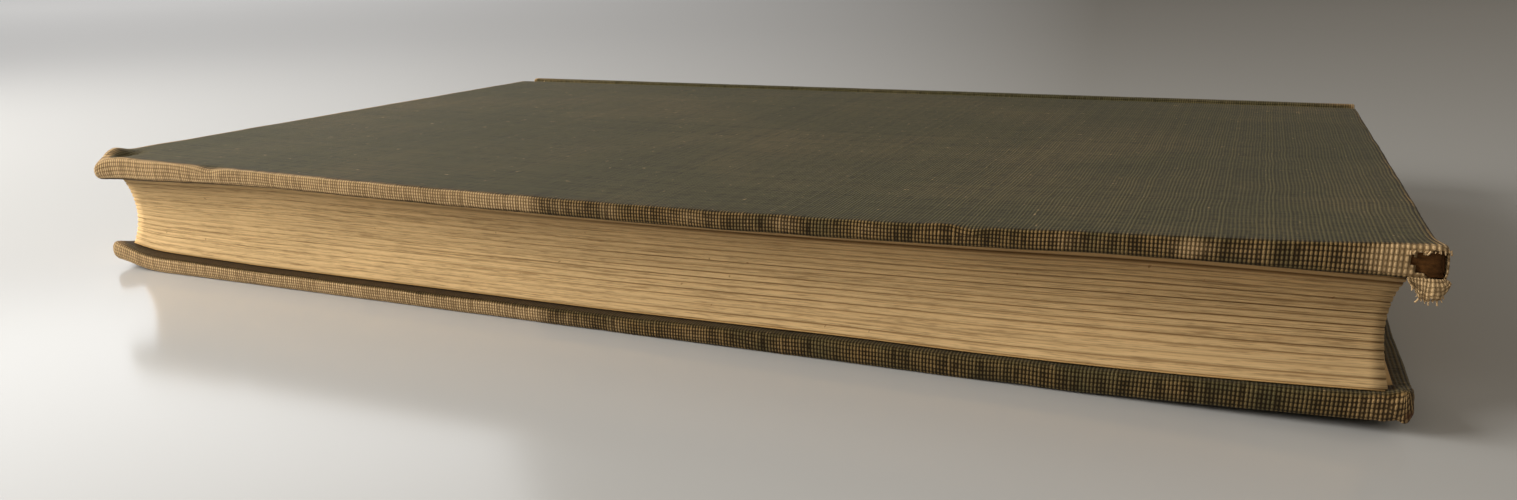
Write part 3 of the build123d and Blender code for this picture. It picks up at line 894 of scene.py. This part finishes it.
def build_spine_cloth(material):
    """Cloth over the spine and its ridges, folded in over the card at head and tail."""
    skin = Skin()
    path = spine_path()
    runs = running(path)
    first = FORE + MARGIN + running(across_cover())[-1]
    columns = spaced(-HALF + 1.5 * MM, HALF - 1.5 * MM, FACE_STEP)
    ribs = []
    for i, (y, z) in enumerate(path):
        before, after = path[max(0, i - 1)], path[min(len(path) - 1, i + 1)]
        along = (Vector(after) - Vector(before)).normalized()
        inward = Vector((along.y, -along.x))
        fold = (0.55 + 0.65 * clamp((y - BACK_CENTRE - 9 * MM) / (2 * MM))) * MM
        radius = fold / 2

        def add(x, depth=0.0, travelled=0.0, shown=0.0):
            folded = depth > 0.95 * fold
            cloth_place = (x + math.copysign(travelled, x), first + runs[i])
            rim = near(HALF - abs(x), 0.0, 0.8 * MM)
            ridge = near(min(abs(z - TOP), abs(z)), 0.0, 0.7 * MM)
            ridge *= near(y, RIDGE_Y + 1.2 * MM, 1.6 * MM) * (0.15 + near(abs(x), HALF, 9 * MM))
            wear = (rim + 0.9 * ridge + 0.7 * shown) * (0.8 + 0.4 * ripple(x, y, 9 * MM, 9.0))
            wear = 0.0 if folded else clamp(wear)
            ruffle = 0.05 * MM * ripple(x, runs[i], 10 * MM, 21.0)
            at = Vector((y, z)) + inward * (depth + ruffle)
            inside = 1.0 if folded else 0.0
            return skin.add((x, *at), cloth_place, wrap=shown, wear=wear, bare=0.0, inside=inside)

        def end(sign):
            made = []
            for turn in spaced(0.0, math.pi, math.pi / 8):
                x = sign * (HALF - radius + radius * math.sin(turn))
                made.append(add(x, radius - radius * math.cos(turn), radius * turn, math.sin(turn)))
            for distance in (3 * MM, 8 * MM, TURN_IN):
                made.append(add(sign * (HALF - distance), fold, distance))
            return made

        ribs.append([*reversed(end(-1)), *(add(x) for x in columns), *end(1)])
    skin.sheet(ribs)
    piece = skin.piece("spine_covering", material)
    outermost = Vector((0, SPINE_OUT, MIDDLE))
    middle = min(piece.data.polygons, key=lambda face: (face.center - outermost).length)
    if middle.normal.y < 0:
        piece.data.flip_normals()
    thicken(piece, WORN_CLOTH)
    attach(piece, "text_block")
    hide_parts("spine_cloth")


# ---------------------------------------------------------------- leaves and papers

SHEETS = 96  # visible ridges in the block's edge
SECTION = 6  # sheets in a folded section
SLIPPED = 2.3 * MM  # how far the lowest leaves have slipped forward at the head
SHOULDER_RUN = 1.2 * MM  # how far the backed shoulder's face leans over


def leaf_fore_edge(settings, x, level):
    """Y of a leaf's fore-edge. level runs from 0, the lowest leaf, to 1, the uppermost."""
    share = (x / LEAF_HALF + 1) / 2
    from_middle = (2 * level - 1) ** 2
    hollow = settings.hollow_tail + (settings.hollow_head - settings.hollow_tail) * share
    lean = settings.lean * max(0.0, x / LEAF_HALF) ** 2 * level**1.5
    loose = 0.35 * MM * near(share, 0.0, 0.3) * from_middle
    slipped = SLIPPED * share * (1 - level) ** 3
    return LEAF_FORE + hollow * (1 - from_middle) - lean - loose - slipped


def leaf_height(x, y, level):
    """Z of a leaf at a place, between the two curled boards and up the backed shoulders."""
    low = BLOCK_LOW + lift("back", x, y) + swelling("back", x, y)
    high = BLOCK_HIGH + lift("front", x, y) - swelling("front", x, y)
    flare = clamp((y - FOOT) / SHOULDER_RUN) * (BLOCK_LOW - SHOULDER_LOW) * (2 * level - 1)
    return low + (high - low) * level + flare


def leaf_back(level):
    """Y of a leaf's fold on the rounded back."""
    reach = (MIDDLE - SHOULDER_LOW) * (2 * level - 1)
    return BACK_CENTRE + math.sqrt(BACK_RADIUS**2 - reach**2)


def edge_relief(step, place, seed):
    """How far a sheet's edge stands back from the trimmed face, and how much painted shade darkens
    its groove.
    """
    sheet, groove = divmod(step, 2)
    own = random.Random(seed * 1000 + sheet).uniform(-1, 1)
    wander = ripple(place, sheet * 7.3 * MM, 24 * MM, seed)
    jag = ripple(place, sheet * 3.1 * MM, 3.5 * MM, seed + 1)
    headward = clamp(place / (70 * MM), -1.0)
    back = (0.05 * own + 0.06 * wander + 0.014 * jag) * (0.65 + 0.35 * headward)
    crevice_shade = 0.0
    # Painted shade darkens the groove between two sheets, and more the gap between two sections.
    if groove:
        back += 0.04
        crevice_shade = 0.25 * max(0.0, own + 0.6 * wander)
    section, within = divmod(step + 1, 2 * SECTION)
    back += 0.10 * (within / SECTION - 1) ** 4
    if within <= 2:  # the gap between two sections
        strength = 0.55 + 0.45 * random.Random(seed * 77 + section).random()
        strength *= 0.85 + 0.6 * ripple(place, section * 5.0 * MM, 60 * MM, seed + 2)
        strength = clamp(strength * (0.66 + 0.42 * headward)) * (1.0 if within == 1 else 0.55)
        back += 0.32 * strength
        crevice_shade = max(crevice_shade, strength)
    return back * MM, crevice_shade


def browned_and_shaded(x, level):
    """How dark the leaves' edges are: a band near the top from age, a line at the bottom, and
    painted shade below the front cover.
    """
    top_band = 0.85 * near(level, 0.925, 0.028) * clamp(0.7 + x / HALF, 0.2)
    bottom = 0.5 * near(level, 0.0, 0.012)
    # Painted shade: the upper leaves darken below the front cover, more towards the head.
    shadow = 0.3 * max(0.0, level - 0.78) / 0.22 * max(0.0, 0.6 + x / HALF)
    return min(1.0, max(top_band, bottom, shadow))


def end_offset(end, level):
    """How far leaves stand out beyond the trimmed head, where the block has settled unevenly."""
    if end < 0:
        return 0.0
    upper = 0.55 * near(level, 1.0, 0.16)
    return (upper - 0.35 * near(level, 0.45, 0.25) + 0.3 * near(level, 0.0, 0.12)) * MM


def lattice(columns, depths, levels, add):
    """Outer faces of a block of points, as rows of indices. add places one point."""
    i_all, j_all, k_all = (range(len(places)) for places in (columns, depths, levels))
    return [
        *([[add(i, j, k) for i in i_all] for k in k_all] for j in (0, j_all[-1])),
        *([[add(i, j, k) for j in j_all] for k in k_all] for i in (0, i_all[-1])),
        *([[add(i, j, k) for i in i_all] for j in j_all] for k in (0, k_all[-1])),
    ]


def build_leaves(settings, material):
    """The block of leaves: every edge stepped sheet by sheet, hollow in front and round behind."""
    skin = Skin()
    columns = spaced(-LEAF_HALF, LEAF_HALF, 2.0 * MM)
    depths = spaced(0.0, 1.0, 1 / 46)
    steps = 2 * SHEETS
    thickness = BLOCK_HIGH - BLOCK_LOW

    def add(i, j, k):
        x, level = columns[i], k / steps
        front = leaf_fore_edge(settings, x, level)
        y = front + (leaf_back(level) - front) * depths[j]
        at_end = i in (0, len(columns) - 1)
        crevice_shade = 0.0
        if j == 0:
            back, crevice_shade = edge_relief(k, x, 1)
            y += back
        if at_end:
            end = 1 if i else -1
            # hollow is the painted shade in the grooves at the block's ends.
            back, hollow = edge_relief(k, y, 2 + end)
            x += end_offset(end, level) * clamp(1 - depths[j] * 2) - end * back
            crevice_shade = max(crevice_shade, hollow)
        cloth_place = (y if at_end and j else x, level * thickness)
        place = (x, y, leaf_height(x, y, level))
        return skin.add(place, cloth_place, crevice_shade=crevice_shade, toning_and_shade=browned_and_shaded(x, level))

    for side in lattice(columns, depths, range(steps + 1), add):
        skin.sheet(side)
    piece = skin.piece("leaves", material)
    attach(piece, "text_block")
    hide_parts("text_block")


def thin_sheet(name, material, columns, rows, upper, lower):
    """A closed sheet of paper or gauze between two surfaces over a grid of places."""
    skin = Skin()

    def add(i, j, k):
        place = columns[i], rows[j]
        return skin.add((lower, upper)[k](*place), place)

    for side in lattice(columns, rows, range(2), add):
        skin.sheet(side)
    return skin.piece(name, material)


def build_flyleaf(side, settings, material):
    """The free half of an endpaper, lying on the outermost leaf."""
    level, away = (1.0, 1) if side == "front" else (0.0, -1)
    columns = spaced(-LEAF_HALF, LEAF_HALF, 3 * MM)
    depths = spaced(0.0, 1.0, 1 / 40)

    def surface(height):
        def at(x, share):
            front = leaf_fore_edge(settings, x, level) - 0.12 * MM * ripple(x, 0, 20 * MM, 4.0)
            y = front + (FOOT - front) * share
            return (x, y, leaf_height(x, min(y, FOOT), level) + away * height)

        return at

    name = f"{side}_free_endpaper"
    piece = thin_sheet(name, material, columns, depths, surface(PAPER), surface(0.0))
    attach(piece, "text_block")
    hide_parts(f"{side}_flyleaf")


PLIES = 14  # layers that show in the bare corner
BOARD_FACE = 1.1 * CLOTH  # depth of a board's outer face


def graded(first, last, coarse, fine, reach):
    """Numbers from first to last, coarse in the middle and fine within reach of both ends."""
    middle = spaced(first + reach, last - reach, coarse)
    return spaced(first, first + reach, fine) + middle[1:-1] + spaced(last - reach, last, fine)


def build_board(side, material):
    """A board under its cloth. The plies of the front one have parted at its bare head corner."""
    skin = Skin()
    half, fore = HALF - CLOTH, FORE + CLOTH
    columns = graded(-half, half, 4 * MM, 0.25 * MM, 4 * MM)
    rows = graded(fore, BOARD_END, 4 * MM, 0.25 * MM, 4 * MM)
    levels = range(PLIES + 1 if side == "front" else 2)

    def add(i, j, k):
        x, y, share = columns[i], rows[j], k / (len(levels) - 1)
        radius = HEAD_CORNER if x > 0 else TAIL_CORNER
        centre = Vector((math.copysign(half - radius, x), fore + radius))
        arm = Vector((x, y)) - centre
        if arm.length > radius and abs(x) > abs(centre.x) and y < centre.y:
            x, y = centre + arm * radius / arm.length
        if side == "front":
            ply = 0.30 * ripple(share * 2.3, 0.0, 0.16, 3.0)
            ply += 0.18 * ripple(x, y + share * MM, 0.5 * MM, 9.0)
            torn = near(math.hypot(half - x, y - fore), 0.0, 5 * MM) * MM * (0.10 + ply)
            x -= torn if i == len(columns) - 1 else 0.0
            y += torn if j == 0 else 0.0
        depth = BOARD_FACE + (BOARD_IN - BOARD_FACE) * share
        return skin.add(worn_surface(side, x, y, depth, FLAT))

    for face in lattice(columns, rows, levels, add):
        skin.sheet(face)
    piece = skin.piece(side + "_pulp_board", material)
    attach(piece, side + "_cover")
    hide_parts(side + "_board")


def build_pastedown(side, material):
    """The glued half of an endpaper, over the turned-in cloth and across the joint to its fold."""
    inner, inner_fore = HALF - TURN_IN, FORE + TURN_IN  # the turned-in cloth's raw edges
    step = 0.9 * MM  # run of paper that climbs from the board onto the cloth
    columns = spaced(-PASTE_EDGE, PASTE_EDGE, 2.5 * MM)
    columns += [end * (inner + shift * MM) for end in (-1, 1) for shift in (-0.9, -0.4, 0.1)]
    rows = spaced(PASTE_FORE, WALL_Y, 2.5 * MM)
    rows += [inner_fore + shift * MM for shift in (-0.1, 0.4, 0.9)]
    rows = sorted(rows) + spaced(WALL_Y + 0.3 * MM, FOOT - 0.5 * MM, 0.3 * MM)
    rows += [FOOT - gap * MM for gap in (0.3, 0.12, 0.02)]

    def surface(under):
        def at(x, y):
            over = clamp((abs(x) - inner + step) / MM)
            over = smooth(max(over, clamp((inner_fore + step - y) / MM)))
            depth = BOARD_IN + 0.1 * MM + (CLOTH - 0.1 * MM) * over + under
            if y < BOARD_END:
                depth += 0.03 * MM * ripple(x, y, 16 * MM, 14.0)
            if y == rows[-1]:
                depth += 0.3 * MM
            return under_cover(side, x, y, depth)

        return at

    name = f"{side}_pasted_endpaper"
    piece = thin_sheet(name, material, sorted(columns), rows, surface(0.0), surface(PAPER))
    bend_with_cover(piece, side)
    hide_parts(f"{side}_pastedown")


# ---------------------------------------------------------------- gauze, linings and headbands


def build_gauze_wing(side, material):
    """The gauze glued to a board, and on across the joint to the shoulder."""
    columns = spaced(-MULL_HALF, MULL_HALF, 4 * MM)
    rows = spaced(MULL_FORE, WALL_Y, 3 * MM) + spaced(WALL_Y + 0.4 * MM, FOOT, 0.4 * MM)

    def surface(depth):
        return lambda x, y: under_cover(side, x, y, BOARD_IN + depth)

    name = f"{side}_gauze_wing"
    piece = thin_sheet(name, material, columns, rows, surface(0.02 * MM), surface(0.08 * MM))
    bend_with_cover(piece, side)
    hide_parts(f"{side}_mull_flange")


def back_strip(name, material, half_height, inner, outer, turn):
    """A strip on the rounded back, between two heights over it and out to an angle each side."""
    columns = spaced(-half_height, half_height, 4 * MM)
    turns = spaced(-turn, turn, math.radians(4))

    def surface(height):
        radius = BACK_RADIUS + height

        def at(x, angle):
            y = BACK_CENTRE + radius * math.cos(angle)
            return (x, y, MIDDLE + radius * math.sin(angle))

        return at

    return thin_sheet(name, material, columns, turns, surface(outer), surface(inner))


def build_back_gauze(material):
    """The gauze on the rounded back, from shoulder to shoulder."""
    turn = math.asin((MIDDLE - SHOULDER_LOW) / BACK_RADIUS)
    piece = back_strip("back_gauze", material, MULL_HALF, 0.02 * MM, 0.09 * MM, turn)
    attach(piece, "text_block")
    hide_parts("spine_mull")


class GeometryTree(Nodes):
    """A geometry tree under construction for what repeats along a line."""

    def __init__(self, name, sizes):
        self.tree = bpy.data.node_groups.new(name, "GeometryNodeTree")
        interface = self.tree.interface
        interface.new_socket("Geometry", in_out="OUTPUT", socket_type="NodeSocketGeometry")
        interface.new_socket("Geometry", in_out="INPUT", socket_type="NodeSocketGeometry")
        for label, value in sizes.items():
            socket = interface.new_socket(label, in_out="INPUT", socket_type="NodeSocketFloat")
            socket.default_value = value
        self.given = self.tree.nodes.new("NodeGroupInput").outputs
        self.result = self.tree.nodes.new("NodeGroupOutput").inputs

    def ring(self, radius, resolution):
        inputs = {"Resolution": resolution, "Radius": radius}
        return self.node("GeometryNodeCurvePrimitiveCircle", inputs)

    def tube(self, line, ring, capped=True):
        inputs = {"Curve": line, "Profile Curve": ring, "Fill Caps": capped}
        return self.node("GeometryNodeCurveToMesh", inputs)

    def points(self, spacing):
        """Points along the line that the tree is given."""
        inputs = {"Curve": self.given["Geometry"], "Length": spacing}
        return self.node("GeometryNodeCurveToPoints", inputs, mode="LENGTH")

    def placed(self, points, instance, turn, **scale):
        inputs = {"Points": points, "Instance": instance, "Rotation": turn, **scale}
        return self.node("GeometryNodeInstanceOnPoints", inputs)

    def end(self, geometry, material):
        real = self.node("GeometryNodeRealizeInstances", {0: geometry})
        painted = self.node("GeometryNodeSetMaterial", {0: real, "Material": material})
        self.tree.links.new(painted, self.result[0])
        return self.tree


def curve_through(name, points):
    """A poly curve through points."""
    data = bpy.data.curves.new(name, "CURVE")
    data.dimensions = "3D"
    spline = data.splines.new("POLY")
    spline.points.add(len(points) - 1)
    for target, point in zip(spline.points, points):
        target.co = (*point, 1.0)
    return linked(name, data)


def grown(name, source, tree):
    """The plain mesh that a geometry tree makes from an object, which is then removed."""
    source.modifiers.new("Grow", "NODES").node_group = tree
    mesh = evaluated_mesh(source)
    mesh.name = name
    bpy.data.objects.remove(source)
    mesh.polygons.foreach_set("use_smooth", [True] * len(mesh.polygons))
    return linked(name, mesh)


def winding_tree(material):
    """Thread wound closely round a cord: rings along the line, each a little tilted."""
    sizes = {"Pitch": 0.42 * MM, "Cord": 0.75 * MM, "Thread": 0.24 * MM}
    tree = GeometryTree("Wound thread", sizes)
    core = tree.tube(tree.given["Geometry"], tree.ring(tree.given["Cord"], 14))
    points = tree.points(tree.given["Pitch"])
    coil = tree.tube(tree.ring(tree.given["Cord"], 14), tree.ring(tree.given["Thread"], 5), False)
    inputs = {"Geometry": coil, "Rotation": (0.16, 0.0, 0.0)}
    tilted = tree.node("GeometryNodeTransform", inputs)
    wound = tree.placed(points, tilted, points.node.outputs["Rotation"])
    both = tree.node("GeometryNodeJoinGeometry", {0: core})
    tree.tree.links.new(wound, both.node.inputs[0])
    return tree.end(both, material)


def build_headband(end, material):
    """A cord wound with thread, sewn over the ends of the folds, on its strip of cloth."""
    node = "head_headband" if end > 0 else "tail_headband"
    low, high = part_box(node)
    radius = BACK_RADIUS - 1.1 * MM
    turn = math.asin((high.z - low.z - 2.2 * MM) / 2 / radius)
    x = end * (LEAF_HALF + 0.9 * MM)
    places = [
        (x, BACK_CENTRE + radius * math.cos(a), MIDDLE + radius * math.sin(a))
        for a in spaced(-turn, turn, math.radians(3))
    ]
    cord = grown(node + "_cord", curve_through("band line", places), winding_tree(material))
    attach(cord, "text_block")
    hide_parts(node)
    half = 5 * MM
    apron = back_strip(node + "_apron", material, half, 0.11 * MM, 0.18 * MM, turn)
    apron.data.transform(Matrix.Translation((end * (LEAF_HALF - half), 0, 0)))
    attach(apron, "text_block")


# ---------------------------------------------------------------- torn corner


def corner_arc(share):
    """Place and outward direction round the front cover's worn head corner, from share 0 to 1."""
    straight = HOLE_ALONG - HEAD_CORNER
    run = share * (straight + HEAD_CORNER * math.pi / 2 + HOLE_HEAD - HEAD_CORNER)
    if run < straight:
        return (HALF - HOLE_ALONG + run, FORE), (0.0, -1.0)
    turn = (run - straight) / HEAD_CORNER
    way = (math.sin(turn), -math.cos(turn))
    x, y = HALF - HEAD_CORNER, FORE + HEAD_CORNER
    return (x + HEAD_CORNER * way[0], y + HEAD_CORNER * way[1]), way


FLAP_HANG = 3.0 * MM
FLAP_COLUMNS = 40
FLAP_ROWS = 14


def flap_point(share, drop):
    """A point of the torn flap: drop 0 is where it leaves the board, 1 its ragged end."""
    (x, y), way = corner_arc(share)
    arch = math.sin(math.pi * (0.08 + 0.84 * share)) ** 1.1
    x += (HALF - 0.5 * HOLE_ALONG - x) * 0.30 * drop - 0.5 * MM * share
    hang = (FLAP_HANG + 0.7 * MM * ripple(share, 0, 0.17, 5.0)) * arch
    crumple = 0.45 * ripple(share * 4, drop * 2, 1.0, 8.0)
    crumple += 0.30 * ripple(share * 11, drop * 6, 1.0, 12.0)
    out = (0.15 + 0.9 * math.sin(math.pi * min(1.0, 0.85 * drop)) + 1.3 * crumple * drop) * MM
    depth = 0.9 * TURN_IN_FACE + hang * drop
    point = under_cover("front", x + way[0] * out, y + way[1] * out, min(depth, TURN_IN_FACE))
    return (point[0], point[1], point[2] - max(0.0, depth - TURN_IN_FACE))


def build_torn_flap(material):
    """Cloth torn from the bare corner, hanging from the board's lower edge."""
    skin = Skin()
    left, top = HALF - HOLE_ALONG, FORE - 3 * MM
    worn = {"wrap": 0.3, "wear": 1.0, "bare": 0.0, "inside": 0.0}
    rows = []
    for drop in spaced(0.0, 1.0, 1 / FLAP_ROWS):
        row = []
        for share in spaced(0.0, 1.0, 1 / FLAP_COLUMNS):
            cloth_place = (left + share * 6.5 * MM, top - drop * 2.9 * MM)
            row.append(skin.add(flap_point(share, drop), cloth_place, **worn))
        rows.append(row)
    for j, (first, second) in enumerate(zip(rows, rows[1:]), 1):
        for i in range(FLAP_COLUMNS):
            if j / FLAP_ROWS < 0.90 + 0.25 * ripple(i * 0.45, 0, 1.0, 31.0):
                skin.faces.append((first[i], first[i + 1], second[i + 1], second[i]))
    piece = skin.piece("torn_flap", material, (1, -1, 0))
    thicken(piece, 0.2 * MM)
    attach(piece, "front_cover")


FRAY_SEED = 7


def fray_tree(material):
    """Short thread ends that stand along a torn rim, turned and sized at random."""
    sizes = {"Spacing": 0.5 * MM, "Thread": 0.19 * MM, "Longest": 0.6, "Shortest": 0.2}
    tree = GeometryTree("Frayed ends", sizes)
    given = tree.given
    points = tree.points(given["Spacing"])
    curl = {
        "Start": (0, 0, 0),
        "Start Handle": (0, -0.1 * MM, -0.3 * MM),
        "End Handle": (0, -0.3 * MM, -0.6 * MM),
        "End": (0.1 * MM, -0.2 * MM, -1.0 * MM),
        "Resolution": 5,
    }
    strand = tree.node("GeometryNodeCurvePrimitiveBezierSegment", curl)
    thread = tree.tube(strand, tree.ring(given["Thread"], 5))
    turns = {"Min": (-0.5, -0.6, -0.8), "Max": (0.9, 0.6, 1.6), "Seed": FRAY_SEED}
    turn = tree.node("FunctionNodeRandomValue", turns, data_type="FLOAT_VECTOR")
    scales = {2: given["Shortest"], 3: given["Longest"], "Seed": FRAY_SEED}
    size = tree.node("FunctionNodeRandomValue", scales, output=1, data_type="FLOAT")
    return tree.end(tree.placed(points, thread, turn, Scale=size), material)


def build_frays(material):
    """Thread ends round the torn flap's lower edge and the bare corner's upper rim."""
    tree = fray_tree(material)
    hem = [flap_point(share, 0.88) for share in spaced(0.0, 1.0, 1 / 30)]
    rim = []
    for (x, y), way in map(corner_arc, spaced(0.0, 1.0, 1 / 24)):
        rim.append(under_cover("front", x + way[0] * 0.05 * MM, y + way[1] * 0.05 * MM, 0.42 * MM))
    for name, line in (("flap_frays", hem), ("rim_frays", rim)):
        frays = grown(name, curve_through(name + "_line", line), tree)
        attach(frays, "front_cover")


# ---------------------------------------------------------------- stage and camera

CAMERA_AT = (95.3 * MM, FORE - 150.8 * MM, 60.2 * MM)
CAMERA_TURN = math.radians(-23.916)  # from looking along +Y, towards +X
CAMERA_DROP = math.radians(17.362)
CAMERA_ROLL = math.radians(-1.097)
LENS = 26.51  # mm, on a sensor 36 mm wide
SHIFT_Y = 0.0328

FLOOR_REACH = 4.0  # m from the book to the floor's edges
FLOOR_DROP = 0.02 * MM  # keeps the floor's face off the cloth's
SKY = (0.78, 0.70, 0.58, 1.0)
BOOK = (0.0, 0.0, 0.0)

# Name, place, where it points, width and height, share of the key light's power, tint, and
# whether glossy things mirror it
LIGHTS = (
    ("Key", (-0.50, -0.24, 0.27), BOOK, (0.45, 0.30), 1.0, (1.0, 0.985, 0.955), False),
    ("Front", (-0.25, -0.80, 0.44), BOOK, (0.6, 0.3), 0.20, (1.0, 0.97, 0.92), False),
    ("Far left", (-1.5, 1.0, 0.9), (-0.9, 0.6, 0.0), (1.1, 1.1), 1.3, (0.96, 0.98, 1.0), True),
    ("Glow", (-2.6, 1.6, 0.55), (-0.9, 0.7, 0.0), (2.6, 0.9), 0.9, (0.94, 0.97, 1.0), False),
    ("Back right", (0.8, 0.9, 0.7), BOOK, (0.8, 0.8), 0.34, (1.0, 0.92, 0.80), True),
    ("Right", (0.75, 0.25, 0.45), (0.45, 0.1, 0.0), (0.4, 0.4), 0.16, (1.0, 0.93, 0.82), True),
)

# A pale wall that is only seen mirrored in the floor, fading to the right
WALL = ("Wall", (-1.55, 2.69, 0.7), (-0.711, 2.145, 0.7), (3.9, 1.4), 0.6, (0.97, 0.98, 1.0), True)
WALL_SPREAD = math.radians(100)


def build_camera():
    level = math.cos(CAMERA_DROP)
    right = Vector((math.cos(CAMERA_TURN), -math.sin(CAMERA_TURN), 0.0))
    ahead = Vector((math.sin(CAMERA_TURN), math.cos(CAMERA_TURN), 0.0))
    forward = ahead * level - Vector((0.0, 0.0, math.sin(CAMERA_DROP)))
    up = right.cross(forward)
    rolled_right = right * math.cos(CAMERA_ROLL) + up * math.sin(CAMERA_ROLL)
    rolled_up = up * math.cos(CAMERA_ROLL) - right * math.sin(CAMERA_ROLL)
    data = bpy.data.cameras.new("Camera")
    data.lens = LENS
    data.sensor_width = 36.0
    data.shift_y = SHIFT_Y
    data.clip_start = 5 * MM
    camera = linked("Camera", data)
    turned = Matrix((rolled_right, rolled_up, -forward)).transposed().to_4x4()
    camera.matrix_world = Matrix.Translation(CAMERA_AT) @ turned
    bpy.context.scene.camera = camera


def area_light(key, name, at, towards, size, share, tint, mirrored):
    """A soft rectangular light that the camera doesn't see."""
    data = bpy.data.lights.new(name, "AREA")
    data.shape = "RECTANGLE"
    data.size, data.size_y = size
    data.energy = share * key
    data.color = tint
    light = linked(name, data)
    light.location = at
    light.rotation_euler = (Vector(towards) - Vector(at)).to_track_quat("-Z", "Y").to_euler()
    light.visible_camera = False
    light.visible_glossy = mirrored
    return light


def build_floor(tint):
    shader = Shader("Floor")
    shader.finish(tint, 0.16, Specular_IOR_Level=0.4)
    skin = Skin()
    reach = FLOOR_REACH
    corners = ((-reach, -reach), (reach, -reach), (reach, reach), (-reach, reach))
    skin.faces.append(tuple(skin.add((x, y, -FLOOR_DROP)) for x, y in corners))
    floor = skin.piece("floor", shader.material, (0, 0, 1))
    floor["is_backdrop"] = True


def build_stage(settings):
    build_floor(tuple(settings.floor))
    world = bpy.data.worlds.new("Studio")
    world.use_nodes = True
    background = world.node_tree.nodes["Background"]
    background.inputs["Color"].default_value = SKY
    background.inputs["Strength"].default_value = settings.ambient
    bpy.context.scene.world = world
    for row in LIGHTS:
        area_light(settings.key, *row)
    wall = area_light(settings.key, *WALL)
    wall.visible_diffuse = False
    wall.data.spread = WALL_SPREAD
    bpy.context.scene.view_settings.view_transform = "Standard"


# ---------------------------------------------------------------- operators


class BOOK_OT_covers(bpy.types.Operator):
    """Builds the covering cloth: both covers and the spine"""

    bl_idname = "book.covers"
    bl_label = "Covering cloth"

    def execute(self, context):
        settings = context.scene.book_cloth
        material = book_cloth(settings, "Book cloth", settings.worn_gap)
        for side in ("front", "back"):
            build_cover_cloth(side, material)
        build_spine_cloth(material)
        return {"FINISHED"}


class BOOK_OT_boards(bpy.types.Operator):
    """Builds the boards, and finishes the spine's card and the paper lining"""

    bl_idname = "book.boards"
    bl_label = "Boards and card"

    def execute(self, context):
        settings = context.scene.book_board
        board = pulp("Pulp board", tuple(settings.board), 0.7, 0.15 * MM)
        for side in ("front", "back"):
            build_board(side, board)
        finishes = {
            "spine_inlay": pulp("Card", tuple(settings.card), 0.4, 0.05 * MM),
            "spine_liner": pulp("Kraft", tuple(settings.kraft), 0.4, 0.04 * MM),
        }
        for name, material in finishes.items():
            slots = frame["nodes"][name].data.materials
            slots.clear()
            slots.append(material)
        return {"FINISHED"}


class BOOK_OT_leaves(bpy.types.Operator):
    """Builds the block of leaves"""

    bl_idname = "book.leaves"
    bl_label = "Leaves"

    def execute(self, context):
        settings = context.scene.book_paper
        build_leaves(settings, leaf_edges(settings))
        return {"FINISHED"}


class BOOK_OT_endpapers(bpy.types.Operator):
    """Builds the endpapers: a pasted and a free half at each cover"""

    bl_idname = "book.endpapers"
    bl_label = "Endpapers"

    def execute(self, context):
        settings = context.scene.book_paper
        material = endpaper(settings)
        for side in ("front", "back"):
            build_flyleaf(side, settings, material)
            build_pastedown(side, material)
        return {"FINISHED"}


class BOOK_OT_linings(bpy.types.Operator):
    """Builds the gauze and the headbands"""

    bl_idname = "book.linings"
    bl_label = "Gauze and headbands"

    def execute(self, context):
        settings = context.scene.book_board
        gauze = pulp("Gauze", tuple(settings.gauze), 0.5, 0.05 * MM)
        for side in ("front", "back"):
            build_gauze_wing(side, gauze)
        build_back_gauze(gauze)
        band = loose_thread("Headband thread", tuple(settings.band))
        for end in (-1, 1):
            build_headband(end, band)
        return {"FINISHED"}


class BOOK_OT_torn_corner(bpy.types.Operator):
    """Builds the torn flap and frayed threads at the bare corner"""

    bl_idname = "book.torn_corner"
    bl_label = "Torn corner"

    def execute(self, context):
        settings = context.scene.book_cloth
        build_torn_flap(book_cloth(settings, "Torn cloth", settings.torn_gap))
        build_frays(loose_thread("Frayed thread", tuple(settings.worn)))
        return {"FINISHED"}


class BOOK_OT_stage(bpy.types.Operator):
    """Builds the floor, lights and camera"""

    bl_idname = "book.stage"
    bl_label = "Stage"

    def execute(self, context):
        build_stage(context.scene.book_studio)
        build_camera()
        return {"FINISHED"}


STEPS = (
    BOOK_OT_stage,
    BOOK_OT_covers,
    BOOK_OT_boards,
    BOOK_OT_leaves,
    BOOK_OT_endpapers,
    BOOK_OT_linings,
    BOOK_OT_torn_corner,
)


class BOOK_PT_panel(bpy.types.Panel):
    """Lists the steps that build the book"""

    bl_idname = "BOOK_PT_panel"
    bl_label = "Old book"
    bl_space_type = "VIEW_3D"
    bl_region_type = "UI"
    bl_category = "Book"

    def draw(self, context):
        for step in STEPS:
            self.layout.operator(step.bl_idname)


SETTINGS = {
    "book_cloth": BookClothSettings,
    "book_paper": BookPaperSettings,
    "book_board": BookBoardSettings,
    "book_studio": BookStudioSettings,
}


def register():
    for made in (*SETTINGS.values(), *STEPS, BOOK_PT_panel):
        bpy.utils.register_class(made)
    for name, group in SETTINGS.items():
        setattr(bpy.types.Scene, name, bpy.props.PointerProperty(type=group))


def unregister():
    for name in SETTINGS:
        delattr(bpy.types.Scene, name)
    for made in reversed((*SETTINGS.values(), *STEPS, BOOK_PT_panel)):
        bpy.utils.unregister_class(made)


def main():
    register()
    for step in STEPS:
        group, name = step.bl_idname.split(".")
        getattr(getattr(bpy.ops, group), name)()
    boxes = {"cad": CAD_BOX, "visual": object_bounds()}
    {name: [list(corner) for corner in box] for name, box in boxes.items()}


if __name__ == "__main__":
    main()
